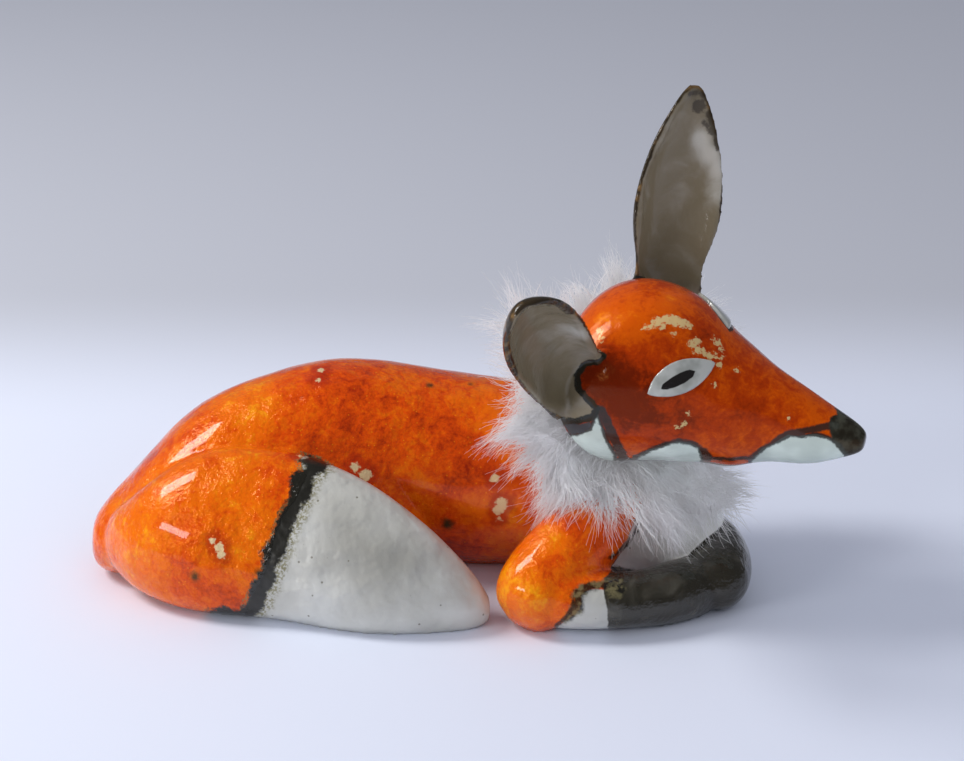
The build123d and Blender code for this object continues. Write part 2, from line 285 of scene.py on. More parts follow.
# ---- neck ----
neckMiddle = Vector((0.041944, -0.02232, 0.062))
neckAxis = Vector((0.67, -0.46, 0.58)).normalized()

# ---- body ----
bodyClay = {
    "voxel": 1.0 * mm,
    "smoothing": 4,
    "lumpSize": 24 * mm,
    "lumpHeight": 0.55 * mm,
    "dentSize": 9 * mm,
    "dentHeight": 0.16 * mm,
    "plugRadius": 9.8 * mm,
    "plugDepth": 13 * mm,
}
bodyNodes = ("torso", "haunch_right", "tail", "foreleg_right", "foreleg_left")
plugPlace = neckMiddle - neckAxis * 8 * mm
foxBody = fuseClay("foxBody", bodyNodes, bodyClay["voxel"],
                   [(plugPlace, bodyClay["plugRadius"], bodyClay["plugDepth"])])
mesh = foxBody.data
places = relax(placesOf(mesh), edgesOf(mesh), bodyClay["smoothing"])
setPlaces(mesh, places)
lift = bodyClay["lumpHeight"] * lumps(places, bodyClay["lumpSize"], 3.1)
lift += bodyClay["dentHeight"] * lumps(places, bodyClay["dentSize"], 7.7)
# the flat base and the seat of the neck stay true
lift *= np.clip(places[:, 2] / (6 * mm), 0, 1)
seatHeight = (places - np.array(neckMiddle)) @ np.array(neckAxis)
seatRadius = np.linalg.norm(places - np.array(neckMiddle) - seatHeight[:, None] * np.array(neckAxis), axis=1)
lift *= np.where((seatRadius < 20 * mm) & (seatHeight > -25 * mm), 0, 1)
places = places + lift[:, None] * normalsOf(mesh)
places[:, 2] = np.maximum(places[:, 2], 0)
places[places[:, 2] < 0.5 * mm, 2] = 0
setPlaces(mesh, places)
print("body clay:", len(mesh.vertices), "vertices", len(mesh.polygons), "faces")

nearest = {node: distanceTo(treeOf(node), places) for node in bodyNodes}


def belongsTo(*nodes):
    # positive on the named pieces, negative on the others
    own = np.min([nearest[node] for node in nodes], axis=0)
    others = np.min([nearest[node] for node in bodyNodes if node not in nodes], axis=0)
    return others - own


bodyTree = BVHTree.FromPolygons([Vector(place) for place in places], [tuple(face.vertices) for face in mesh.polygons])
bodyPixels = pixelOf(places)
bodyNormals = normalsOf(mesh)
bodyMarks = {
    "tailWhite": [(338, 440), (300, 458), (306, 476), (297, 497), (284, 514), (277, 530), (272, 548), (268, 566),
                  (259, 584), (249, 600), (238, 640), (238, 700), (600, 700), (600, 440)],
    "tailBand": [(312, 440), (318, 460), (303, 478), (297, 500), (288, 515), (280, 532), (276, 548), (270, 565),
                 (262, 585), (253, 603), (244, 620), (236, 640)],
    "tailBandHalf": 9.5,
    "tailTopLine": [(300, 461), (325, 461), (346, 468), (372, 481)],
    "tailFoot": [(203, 611), (222, 607), (243, 614), (250, 640), (200, 640)],
    "sock": [(604, 578), (603, 592), (607, 606), (609, 640), (800, 660), (800, 480), (660, 500), (645, 535),
             (622, 560)],
    "wrist": [(568, 619), (580, 610), (582, 595), (590, 589), (600, 588), (608, 590), (609, 610), (613, 640),
              (550, 640), (556, 627)],
    # partly olive glaze, partly painted shade in the crease where the foreleg meets the chest
    "wristOliveAndShade": [(571, 590), (582, 584), (602, 580), (621, 578), (626, 590), (620, 598), (610, 597), (603, 589),
                   (590, 591), (584, 595), (583, 611), (572, 620), (561, 625), (567, 612), (573, 603)],
    "wristLine": [(571, 594), (573, 606), (567, 616), (556, 626)],
    "chest": [(598, 585), (604, 559), (620, 545), (632, 528), (640, 440), (760, 440), (760, 600)],
    "chestOliveAndShade": [(592, 572), (606, 564), (626, 569), (652, 572), (690, 571), (716, 566), (760, 560), (760, 610),
                   (592, 610)],
    "chestDark": [(638, 512), (637, 530), (630, 540), (621, 550), (610, 558)],
    "cream": [(495, 478, 4), (502, 503, 6), (498, 510, 5), (499, 519, 3), (321, 370, 4), (318, 380, 3),
              (213, 541, 3), (219, 548, 5), (222, 556, 4), (355, 467, 5), (366, 475, 6), (300, 456, 3)],
    "dark": [(430, 385, 3), (447, 524, 7), (470, 384, 2), (258, 572, 3), (196, 577, 5)],
    # clouds of tone, partly random and partly painted light and shade: the torso darker on its left and top, the tail
    # lighter on its lower left
    "toneAndPaintedLight": [(150, 455, 40, -0.35), (350, 372, 45, -0.3), (440, 385, 40, -0.2), (230, 490, 60, 0.45), (125, 545, 40, 0.7), (250, 560, 40, 0.2), (552, 535, 18, 0.8), (530, 600, 24, 0.9),
             (505, 570, 24, 0.6), (160, 470, 30, 0.4), (250, 395, 40, 0.3), (420, 440, 70, -0.3),
             (470, 465, 30, -0.35), (570, 527, 12, -0.5), (400, 510, 35, -0.35), (455, 545, 40, -0.4),
             (330, 430, 45, -0.15), (600, 540, 25, -0.35), (205, 520, 30, -0.3), (190, 590, 35, -0.15),
             (230, 600, 20, -0.4), (520, 520, 25, 0.4), (560, 590, 20, -0.2), (460, 400, 25, 0.2), (520, 430, 40, 0.3)],
}
# painted shade: the middle of the tail's white face and a spot low on the chest are painted greyer
bodyMarks["paintedShade"] = [(372, 556, 34, 0.75), (340, 525, 22, 0.35), (410, 560, 24, 0.45), (325, 560, 22, 0.3),
                     (690, 548, 12, 0.35)]
tailPart = belongsTo("tail")
rightPaw = belongsTo("foreleg_right")
leftPaw = belongsTo("foreleg_left")
chestPart = belongsTo("torso")
white = np.minimum(tailPart, areaField(bodyPixels, bodyMarks["tailWhite"]))
band = np.minimum(tailPart + 1 * mm, lineField(bodyPixels, bodyMarks["tailBand"], bodyMarks["tailBandHalf"]))
band = np.maximum(band, np.minimum(tailPart, areaField(bodyPixels, bodyMarks["tailFoot"])))
paws = belongsTo("foreleg_right", "foreleg_left")
sock = np.maximum(leftPaw, np.minimum(paws, areaField(bodyPixels, bodyMarks["sock"])))
wrist = np.minimum(rightPaw, areaField(bodyPixels, bodyMarks["wrist"]))
olive = np.minimum(rightPaw + 2 * mm, areaField(bodyPixels, bodyMarks["wristOliveAndShade"]))
chestFront = areaField(bodyPixels, bodyMarks["chest"])
chestBack = places[:, 0] - 54 * mm
facing = bodyNormals @ viewBack
chest = np.minimum(chestPart + 1.6 * mm, np.where(facing > 0, chestFront, chestBack))
olive = np.maximum(olive, np.minimum(chestPart + 1 * mm, areaField(bodyPixels, bodyMarks["chestOliveAndShade"])))
line = np.minimum(rightPaw, lineField(bodyPixels, bodyMarks["wristLine"], 1.8))
line = np.maximum(line, np.minimum(tailPart + 1.5 * mm, lineField(bodyPixels, bodyMarks["tailTopLine"], 2.0)))
line = np.maximum(line, np.where(facing > 0, lineField(bodyPixels, bodyMarks["chestDark"], 2.0), -0.05))
keepField(mesh, "white", np.maximum(white, np.maximum(wrist, chest)))
keepField(mesh, "tail", tailPart)
keepField(mesh, "chest", chestPart)
keepField(mesh, "band", band)
keepField(mesh, "sock", sock)
keepField(mesh, "olive", olive)
keepField(mesh, "line", line)
keepField(mesh, "cream", spotField(places, bodyTree, bodyMarks["cream"]))
keepField(mesh, "dark", spotField(places, bodyTree, bodyMarks["dark"]))
keepField(mesh, "toneAndPaintedLight", toneField(places, bodyTree, bodyMarks["toneAndPaintedLight"]))
keepField(mesh, "paintedShade", toneField(places, bodyTree, bodyMarks["paintedShade"]))
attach(foxBody, "body")
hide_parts(*bodyNodes)
print("body glaze fields are set")

# ---- head ----
headClay = {
    "voxel": 0.78 * mm,
    "smoothing": 3,
    "earSmoothing": 8,
    "earSnaps": 2,
    "lumpSize": 18 * mm,
    "lumpHeight": 0.3 * mm,
    "yaw": 20.0,
    "dip": 8.0,
    "roll": 12.0,
    "length": 98 * mm,
    "width": 57 * mm,
    "height": 58 * mm,
}
yaw = math.radians(headClay["yaw"])
dip = math.radians(headClay["dip"])
roll = math.radians(headClay["roll"])
headForward = Vector((math.cos(yaw) * math.cos(dip), -math.sin(yaw) * math.cos(dip), -math.sin(dip)))
headLeft = Matrix.Rotation(roll, 3, headForward) @ Vector((math.sin(yaw), math.cos(yaw), 0))
headUp = headForward.cross(headLeft)
headBack = neckMiddle + Vector((-0.07 * headClay["length"], -0.06 * headClay["width"], 0.21 * headClay["height"]))
# each ear's lean and the way it opens
ears = {"left": ((0.13, 0.25, 0.96), (0.45, -0.85, 0.16)), "right": ((-0.27, -0.70, 0.66), (0.58, -0.68, -0.45))}
headNodes = ("head_shell", "ear_left", "ear_right")
foxHead = fuseClay("foxHead", headNodes, headClay["voxel"],
                   [(neckMiddle + neckAxis * 9 * mm, bodyClay["plugRadius"], bodyClay["plugDepth"])])
mesh = foxHead.data
places = relax(placesOf(mesh), edgesOf(mesh), headClay["smoothing"])
shellTree = treeOf("head_shell")
shellNear = distanceTo(shellTree, places)
softEars = np.clip(shellNear / (2 * mm) - 1, 0, 1)[:, None]
earTrees = (treeOf("ear_left"), treeOf("ear_right"))
for turn in range(headClay["earSnaps"]):
    # the thin rims are drawn back to the modelled ears, then evened
    onEars = [min((tree.find_nearest(Vector(place)) for tree in earTrees), key=lambda found: found[3])[0]
              for place in places]
    places = places + softEars * (np.array(onEars) - places)
    places = places + softEars * (relax(places, edgesOf(mesh), headClay["earSmoothing"], back=0.0) - places)
setPlaces(mesh, places)
leftNear = distanceTo(earTrees[0], places)
rightNear = distanceTo(earTrees[1], places)
earPart = shellNear - np.minimum(leftNear, rightNear)
lift = headClay["lumpHeight"] * lumps(places, headClay["lumpSize"], 5.3)
lift *= np.clip(-earPart / (4 * mm), 0.35, 1)
seatHeight = (places - np.array(neckMiddle)) @ np.array(neckAxis)
lift *= np.clip(seatHeight / (8 * mm), 0, 1)
places = places + lift[:, None] * normalsOf(mesh)
setPlaces(mesh, places)
headNormals = normalsOf(mesh)
headTree = BVHTree.FromPolygons([Vector(place) for place in places], [tuple(face.vertices) for face in mesh.polygons])
print("head clay:", len(mesh.vertices), "vertices", len(mesh.polygons), "faces")

sideways = (places - np.array(headBack)) @ np.array(headLeft)


def nearSide(points):
    # the far half of the face is glazed as the near half
    side = (points - np.array(headBack)) @ np.array(headLeft)
    return points - np.where(side > 0, 2 * side, 0)[:, None] * np.array(headLeft)


facePixels = pixelOf(nearSide(places))
faceMarks = {
    "jaw": [(636, 457), (652, 449), (667, 444), (678, 441), (690, 443), (699, 447), (703, 458), (700, 490), (636, 490)],
    "muzzle": [(750, 460), (762, 449), (776, 442), (788, 434), (800, 436), (815, 434), (828, 437), (840, 446),
               (846, 455), (846, 480), (750, 490)],
    "cheek": [(597, 412), (602, 427), (608, 442), (616, 456), (612, 475), (560, 495), (530, 480), (560, 436),
              (577, 434), (590, 429)],
    "lobe": [(598, 352), (586, 361), (577, 375), (578, 388), (588, 400), (597, 409), (592, 417), (578, 421),
             (564, 421), (552, 417), (552, 360), (580, 345)],
    "stripe": [(600, 410), (607, 422), (613, 436), (619, 449), (625, 461)],
    "stripeHalf": 5.0,
    "jawLine": [(634, 457), (652, 449), (667, 443), (678, 440), (690, 442), (700, 446), (704, 453), (712, 458),
                (730, 459), (750, 458), (762, 448), (776, 441)],
    "jawLineHalf": 1.9,
    "muzzleLine": [(776, 441), (790, 433), (806, 431), (820, 428), (836, 425)],
    "muzzleLineHalf": 3.6,
    "notch": [(704, 452), (708, 457)],
    "notchHalf": 4.5,
    "nose": [(830, 417), (845, 412), (880, 410), (880, 470), (846, 456), (836, 447), (831, 438)],
    "farEyeShadeHalf": 0.8 * mm,
    "patch": [(563, 422), (580, 424), (590, 421), (591, 427), (580, 434), (569, 434)],
    "gold": [(658, 322, 5), (666, 319, 5), (674, 320, 6), (682, 323, 5), (688, 325, 4), (650, 325, 3), (645, 328, 2),
             (663, 326, 3), (674, 334, 2), (693, 345, 4), (697, 350, 4), (703, 351, 3.5), (709, 356, 4), (715, 355, 3),
             (718, 343, 4), (721, 349, 3), (714, 339, 2.5), (723, 357, 2), (719, 365, 2.5), (737, 370, 2.5),
             (697, 341, 3), (683, 424, 2.5), (677, 428, 2), (689, 413, 2), (599, 331, 3), (602, 338, 3), (714, 385, 1.5),
             (789, 418, 1.5)],
    # clouds of tone, partly random and partly painted shade: the head darkest under the near ear
    "toneAndPaintedLight": [(625, 315, 28, 0.55), (600, 320, 18, 0.4), (680, 300, 20, 0.5), (740, 385, 30, -0.3), (775, 405, 25, -0.1),
             (640, 340, 18, 0.3), (720, 430, 25, -0.3), (650, 350, 25, -0.3), (600, 375, 30, -1.2), (625, 410, 28, -1.0),
             (680, 410, 30, -0.35), (660, 380, 30, -0.3), (790, 415, 15, -0.3), (705, 330, 20, -0.4),
             (655, 430, 30, -0.5)],
    "pupil": [(662, 391), (663, 386), (671, 379), (680, 373), (689, 369), (695, 370), (693, 376), (685, 383),
              (676, 388), (668, 391)],
    "earSpot": [(699, 106, 7)],
    "earStreaks": [[(690, 94), (700, 92), (709, 102)], [(708, 112), (713, 126), (718, 148)],
                   [(704, 122), (712, 134)]],
    "earStreakHalf": 2.6,
    "earDark": [(697, 92, 12, 0.8), (711, 118, 7, 0.9), (717, 142, 6, 0.8), (650, 268, 24, 0.6), (690, 276, 24, 0.7), (665, 240, 24, 0.3), (640, 276, 12, 0.6), (560, 400, 26, 0.5),
                (548, 350, 14, 0.3), (545, 385, 16, 0.4)],
    "earPale": [(700, 138, 9, 0.45), (710, 152, 10, 0.5), (718, 170, 11, 0.5), (718, 192, 12, 0.35),
                (583, 335, 16, 0.35), (566, 328, 14, 0.2)],
    # each row: a rim as the picture shows it and half its width in pixels
    "rims": [([(636, 276), (634, 250), (633, 225), (635, 203), (640, 180), (647, 160), (655, 140), (663, 124),
               (673, 106), (683, 92), (692, 85)], 3.0),
             ([(692, 85), (700, 85), (707, 95), (712, 110), (718, 132)], 3.4),
             ([(718, 132), (722, 155), (724, 180), (722, 205), (719, 230), (712, 250), (706, 265), (701, 290)], 1.8),
             ([(601, 352), (591, 333), (581, 318), (571, 308)], 2.4),
             ([(571, 308), (558, 299), (541, 297), (525, 300), (511, 310), (504, 325), (503, 340), (505, 357),
               (511, 373)], 7.0),
             ([(511, 373), (521, 390), (535, 405), (548, 416), (560, 421)], 5.0)],
}
jaw = np.maximum(areaField(facePixels, faceMarks["jaw"]), areaField(facePixels, faceMarks["muzzle"]))
under = (places - np.array(headBack)) @ np.array(headUp)
cheek = areaField(facePixels, faceMarks["cheek"])
white = np.maximum(jaw, cheek)
# the underside, which the picture doesn't show, is white as its borders are
along = (places - np.array(headBack)) @ np.array(headForward)
belly = np.minimum(-(headNormals @ np.array(headUp)) - 0.72, 0.2) * 12 * mm
belly = np.minimum(belly, 0.86 * headClay["length"] - along)
white = np.maximum(white, belly)
line = lineField(facePixels, faceMarks["stripe"], faceMarks["stripeHalf"])
line = np.maximum(line, lineField(facePixels, faceMarks["jawLine"], faceMarks["jawLineHalf"]))
line = np.maximum(line, lineField(facePixels, faceMarks["muzzleLine"], faceMarks["muzzleLineHalf"]))
line = np.maximum(line, lineField(facePixels, faceMarks["notch"], faceMarks["notchHalf"]))
nose = areaField(facePixels, faceMarks["nose"])
inner = np.full(len(places), -0.05)
for side, near in (("left", leftNear), ("right", rightNear)):
    lean, opening = ears[side]
    lean = Vector(lean).normalized()
    across = Vector(opening).cross(lean).normalized()
    opening = lean.cross(across).normalized()
    if opening.dot(Vector(ears[side][1])) < 0:
        opening = -opening
    own = np.where(near < shellNear, 1, 0) * np.where(near == np.minimum(leftNear, rightNear), 1, 0)
    turned = headNormals @ np.array(opening)
    inner = np.where(own, turned * 3 * mm, inner)
lobe = np.where(sideways < 0, areaField(facePixels, faceMarks["lobe"]), -0.05)
earPart = np.maximum(earPart, lobe)
inner = np.maximum(inner, lobe)
keepField(mesh, "white", np.minimum(white, -lobe))
# painted shade: the far eye has a thin dark edge, where it lies beyond the head's ridge
keepField(mesh, "line", np.maximum(line, faceMarks["farEyeShadeHalf"] - distanceTo(treeOf("eye_left"), places)))
keepField(mesh, "nose", nose)
keepField(mesh, "ear", earPart)
keepField(mesh, "inner", inner)
headPixels = pixelOf(places)
rim = np.max([lineField(headPixels, points, half) for points, half in faceMarks["rims"]], axis=0)
keepField(mesh, "rim", rim)
streak = spotField(places, headTree, faceMarks["earSpot"])
for points in faceMarks["earStreaks"]:
    streak = np.maximum(streak, lineField(headPixels, points, faceMarks["earStreakHalf"]))
keepField(mesh, "streak", streak)
keepField(mesh, "earDark", toneField(places, headTree, faceMarks["earDark"]))
keepField(mesh, "earPale", toneField(places, headTree, faceMarks["earPale"]))
keepField(mesh, "patch", areaField(facePixels, faceMarks["patch"]))
keepField(mesh, "cream", spotField(places, headTree, faceMarks["gold"]))
keepField(mesh, "toneAndPaintedLight", toneField(places, headTree, faceMarks["toneAndPaintedLight"]))
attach(foxHead, "head")
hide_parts(*headNodes)
print("head glaze fields are set")

# ---- eyes ----
eyePads = {"voxel": 0.4 * mm, "smoothing": 7, "nearTurn": -4.5, "farSink": 0.7 * mm}
for node, name in (("eye_right", "eyeNear"), ("eye_left", "eyeFar")):
    pad = fuseClay(name, (node,), eyePads["voxel"])
    places = relax(placesOf(pad.data), edgesOf(pad.data), eyePads["smoothing"], back=0.0)
    middle = places.mean(axis=0)
    if name == "eyeNear":
        nearMiddle, asNear = middle, places
    else:
        # the far pupil sits on its pad as the near one does
        asNear = nearSide(places) + nearMiddle - nearSide(middle[None, :])
    outward = headTree.find_nearest(Vector(middle))[1]
    if name == "eyeNear":
        turn = np.array(Matrix.Rotation(math.radians(eyePads["nearTurn"]), 3, outward))
        places = middle + (places - middle) @ turn.T
    else:
        places = places - eyePads["farSink"] * np.array(outward)
    setPlaces(pad.data, places)
    keepField(pad.data, "pupil", areaField(pixelOf(asNear), faceMarks["pupil"]))
    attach(pad, "head")
    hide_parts(node)
print("eyes are set")

# ---- finishes ----


def paint(red, green, blue):
    # a colour as a painter reads it, 0 to 255, for the shader
    channels = []
    for value in (red, green, blue):
        value = value / 255
        channels.append(value / 12.92 if value <= 0.04045 else ((value + 0.055) / 1.055) ** 2.4)
    return (*channels, 1.0)


def newFinish(name):
    finish = bpy.data.materials.new(name)
    finish.use_nodes = True
    tree = finish.node_tree
    tree.nodes.clear()
    output = tree.nodes.new("ShaderNodeOutputMaterial")
    shader = tree.nodes.new("ShaderNodeBsdfPrincipled")
    tree.links.new(shader.outputs["BSDF"], output.inputs["Surface"])
    coordinates = tree.nodes.new("ShaderNodeTexCoord")
    return finish, tree, shader, coordinates.outputs["Object"]


def feed(tree, socket, value):
    # a socket takes another socket or a plain value
    if isinstance(value, bpy.types.NodeSocket):
        tree.links.new(value, socket)
    else:
        socket.default_value = value


def number(tree, operation, first, second=0.0, third=0.0):
    node = tree.nodes.new("ShaderNodeMath")
    node.operation = operation
    for socket, value in zip(node.inputs, (first, second, third)):
        feed(tree, socket, value)
    return node.outputs[0]


def blendColours(tree, share, first, second):
    node = tree.nodes.new("ShaderNodeMix")
    node.data_type = "RGBA"
    feed(tree, node.inputs["Factor"], share)
    feed(tree, [socket for socket in node.inputs if socket.identifier == "A_Color"][0], first)
    feed(tree, [socket for socket in node.inputs if socket.identifier == "B_Color"][0], second)
    return [socket for socket in node.outputs if socket.identifier == "Result_Color"][0]


def blendValues(tree, share, first, second):
    node = tree.nodes.new("ShaderNodeMix")
    node.data_type = "FLOAT"
    feed(tree, node.inputs["Factor"], share)
    feed(tree, node.inputs["A"], first)
    feed(tree, node.inputs["B"], second)
    return node.outputs[0]


def step(tree, value, low, high):
    node = tree.nodes.new("ShaderNodeMapRange")
    node.interpolation_type = "SMOOTHSTEP"
    feed(tree, node.inputs["Value"], value)
    feed(tree, node.inputs["From Min"], low)
    feed(tree, node.inputs["From Max"], high)
    return node.outputs["Result"]


def cloud(tree, place, size, detail=2.0, roughness=0.5, distortion=0.0):
    node = tree.nodes.new("ShaderNodeTexNoise")
    feed(tree, node.inputs["Vector"], place)
    if isinstance(size, bpy.types.NodeSocket):
        feed(tree, node.inputs["Scale"], number(tree, "DIVIDE", 1.0, size))
    else:
        node.inputs["Scale"].default_value = 1.0 / size
    node.inputs["Detail"].default_value = detail
    node.inputs["Roughness"].default_value = roughness
    node.inputs["Distortion"].default_value = distortion
    return node.outputs["Fac"]


def crystals(tree, place, size):
    node = tree.nodes.new("ShaderNodeTexVoronoi")
    feed(tree, node.inputs["Vector"], place)
    node.inputs["Scale"].default_value = 1.0 / size
    return node.outputs["Distance"]


def fieldOf(tree, name):
    node = tree.nodes.new("ShaderNodeAttribute")
    node.attribute_name = name
    return node.outputs["Fac"]


def newGroup(name, inputs, outputs):
    group = bpy.data.node_groups.new(name, "ShaderNodeTree")
    for label, kind, value in inputs:
        socket = group.interface.new_socket(label, in_out="INPUT", socket_type=kind)
        if value is not None:
            socket.default_value = value
    for label, kind in outputs:
        group.interface.new_socket(label, in_out="OUTPUT", socket_type=kind)
    return group, group.nodes.new("NodeGroupInput").outputs, group.nodes.new("NodeGroupOutput").inputs


def useGroup(tree, group, output, **values):
    node = tree.nodes.new("ShaderNodeGroup")
    node.node_tree = group
    for label, value in values.items():
        feed(tree, node.inputs[label], value)
    return node.outputs[output]


# the edge of a brushed glaze: it wanders and frays where two glazes meet
edgeGroup, given, result = newGroup(
    "brushedEdge",
    [("Place", "NodeSocketVector", None), ("Field", "NodeSocketFloat", 0.0), ("Wander", "NodeSocketFloat", 0.001),
     ("Grain", "NodeSocketFloat", 0.003), ("Soft", "NodeSocketFloat", 0.0003)],
    [("Mask", "NodeSocketFloat")])
wander = cloud(edgeGroup, given["Place"], given["Grain"], detail=4.0, roughness=0.65)
wander = number(edgeGroup, "SUBTRACT", wander, 0.5)
wander = number(edgeGroup, "MULTIPLY", wander, number(edgeGroup, "MULTIPLY", given["Wander"], 4.0))
edge = number(edgeGroup, "ADD", given["Field"], wander)
mask = step(edgeGroup, edge, number(edgeGroup, "MULTIPLY", given["Soft"], -1.0), given["Soft"])
edgeGroup.links.new(mask, result["Mask"])

# the mottled glaze: slow clouds, brush-wide patches and fine grain between four tones
mottleGroup, given, result = newGroup(
    "mottledGlaze",
    [("Place", "NodeSocketVector", None), ("Tone", "NodeSocketFloat", 0.0), ("Cloud", "NodeSocketFloat", 0.02),
     ("Vary", "NodeSocketFloat", 1.0),
     ("Deep", "NodeSocketColor", None), ("Middle", "NodeSocketColor", None), ("Bright", "NodeSocketColor", None),
     ("Light", "NodeSocketColor", None)],
    [("Colour", "NodeSocketColor"), ("Level", "NodeSocketFloat")])
slow = cloud(mottleGroup, given["Place"], given["Cloud"], detail=1.5, distortion=0.4)
patch = cloud(mottleGroup, given["Place"], 4.6 * mm, detail=3.0, roughness=0.6, distortion=0.8)
grain = cloud(mottleGroup, given["Place"], 1.1 * mm, detail=2.0, roughness=0.6)
spread = 0.0
for amount, source in ((0.7, slow), (0.9, patch), (0.42, grain)):
    spread = number(mottleGroup, "MULTIPLY_ADD", number(mottleGroup, "SUBTRACT", source, 0.5), amount, spread)
level = number(mottleGroup, "MULTIPLY_ADD", given["Tone"], 0.34, 0.5)
level = number(mottleGroup, "MULTIPLY_ADD", spread, given["Vary"], level)
colour = blendColours(mottleGroup, step(mottleGroup, level, 0.10, 0.42), given["Deep"], given["Middle"])
colour = blendColours(mottleGroup, step(mottleGroup, level, 0.36, 0.62), colour, given["Bright"])
colour = blendColours(mottleGroup, step(mottleGroup, level, 0.62, 0.95), colour, given["Light"])
mottleGroup.links.new(colour, result["Colour"])
mottleGroup.links.new(level, result["Level"])

# the skin of the glaze: hand-formed waves, fine pitting and small crystals
skinGroup, given, result = newGroup(
    "glazeSkin",
    [("Place", "NodeSocketVector", None), ("Wave", "NodeSocketFloat", 0.5), ("Pit", "NodeSocketFloat", 0.5)],
    [("Height", "NodeSocketFloat")])
wave = number(skinGroup, "MULTIPLY", cloud(skinGroup, given["Place"], 8 * mm, detail=2.0, roughness=0.45),
              given["Wave"])
pit = number(skinGroup, "MULTIPLY", cloud(skinGroup, given["Place"], 1.3 * mm, detail=2.0, roughness=0.6), given["Pit"])
height = number(skinGroup, "ADD", wave, pit)
skinGroup.links.new(height, result["Height"])


def relief(tree, shader, height, depth, strength=1.0):
    bump = tree.nodes.new("ShaderNodeBump")
    bump.inputs["Strength"].default_value = strength
    bump.inputs["Distance"].default_value = depth
    tree.links.new(height, bump.inputs["Height"])
    tree.links.new(bump.outputs["Normal"], shader.inputs["Normal"])


def mask(tree, place, field, wander, grain, soft=0.25 * mm, grow=0.0):
    value = field if isinstance(field, bpy.types.NodeSocket) else fieldOf(tree, field)
    if grow:
        value = number(tree, "ADD", value, grow)
    return useGroup(tree, edgeGroup, "Mask", Place=place, Field=value, Wander=wander, Grain=grain, Soft=soft)


bodyGlaze = {
    "deep": paint(160, 36, 5),
    "middle": paint(218, 74, 4),
    "bright": paint(234, 106, 5),
    "light": paint(246, 158, 18),
    "white": paint(205, 205, 199),
    "whiteShade": paint(188, 187, 179),
    "chestPaintedBounceLight": paint(250, 250, 244),
    "paintedShade": paint(150, 148, 139),
    "pinhole": paint(110, 105, 92),
    "fringe": paint(124, 118, 76),
    "black": paint(30, 28, 20),
    "sockDark": paint(44, 40, 29),
    "sockGrey": paint(88, 84, 72),
    "olive": paint(112, 104, 72),
    "cream": paint(222, 196, 150),
    "halo": paint(176, 40, 10),
    "spot": paint(60, 48, 24),
    "veil": (1.0, 0.42, 0.10, 1.0),
}
bodyFinish, tree, shader, place = newFinish("foxBodyGlaze")
colour = useGroup(tree, mottleGroup, "Colour", Place=place, Tone=fieldOf(tree, "toneAndPaintedLight"), Cloud=17 * mm, Vary=0.82,
                  Deep=bodyGlaze["deep"], Middle=bodyGlaze["middle"], Bright=bodyGlaze["bright"],
                  Light=bodyGlaze["light"])
speck = step(tree, crystals(tree, place, 2.2 * mm), 0.16, 0.06)
colour = blendColours(tree, number(tree, "MULTIPLY", speck, 0.45), colour, bodyGlaze["light"])
halo = mask(tree, place, "cream", 1.2 * mm, 3 * mm, soft=1.4 * mm, grow=2.4 * mm)
colour = blendColours(tree, number(tree, "MULTIPLY", halo, 0.75), colour, bodyGlaze["halo"])
colour = blendColours(tree, mask(tree, place, "dark", 1.0 * mm, 4 * mm, soft=1.2 * mm), colour, bodyGlaze["spot"])
creamMask = mask(tree, place, "cream", 0.9 * mm, 1.6 * mm, soft=0.35 * mm)
colour = blendColours(tree, creamMask, colour, bodyGlaze["cream"])
shade = step(tree, cloud(tree, place, 22 * mm, detail=2.0), 0.35, 0.7)
whiteColour = blendColours(tree, shade, bodyGlaze["whiteShade"], bodyGlaze["white"])
# painted light: the chest's white, in the shade of the head and the down, is brighter than the tail's for the floor's
# bounce light
whiteColour = blendColours(tree, mask(tree, place, "chest", 0.0, 4 * mm), whiteColour, bodyGlaze["chestPaintedBounceLight"])
# painted shade greys the middle of the tail's white and a spot low on the chest
whiteColour = blendColours(tree, fieldOf(tree, "paintedShade"), whiteColour, bodyGlaze["paintedShade"])
hole = step(tree, crystals(tree, place, 5.5 * mm), 0.085, 0.05)
whiteColour = blendColours(tree, number(tree, "MULTIPLY", hole, 0.8), whiteColour, bodyGlaze["pinhole"])
whiteMask = mask(tree, place, "white", 0.5 * mm, 4 * mm, soft=0.3 * mm)
colour = blendColours(tree, whiteMask, colour, whiteColour)
sockTone = cloud(tree, place, 9 * mm, detail=3.0, distortion=0.6)
sockColour = blendColours(tree, step(tree, sockTone, 0.45, 0.85), bodyGlaze["sockDark"], bodyGlaze["sockGrey"])
sockMask = mask(tree, place, "sock", 0.4 * mm, 4 * mm, soft=0.3 * mm)
colour = blendColours(tree, sockMask, colour, sockColour)
# olive glaze mottled with black: partly the glaze, partly painted shade in the crease between the foreleg, the wrist
# and the chest
oliveAndShadeMask = mask(tree, place, "olive", 0.9 * mm, 2.5 * mm, soft=0.8 * mm)
oliveAndShadeColour = blendColours(tree, step(tree, cloud(tree, place, 2.2 * mm, detail=3.0), 0.4, 0.6), bodyGlaze["olive"],
                           bodyGlaze["black"])
colour = blendColours(tree, number(tree, "MULTIPLY", oliveAndShadeMask, 0.96), colour, oliveAndShadeColour)
fringeMask = mask(tree, place, "band", 1.8 * mm, 4.0 * mm, soft=1.6 * mm, grow=2.6 * mm)
fringeMask = number(tree, "MULTIPLY", fringeMask, mask(tree, place, "white", 0.5 * mm, 4 * mm, grow=2 * mm))
dots = step(tree, cloud(tree, place, 0.8 * mm, detail=2.0, roughness=0.7), 0.42, 0.58)
fringeMask = number(tree, "MULTIPLY", fringeMask, dots)
colour = blendColours(tree, number(tree, "MULTIPLY", fringeMask, 0.85), colour, bodyGlaze["fringe"])
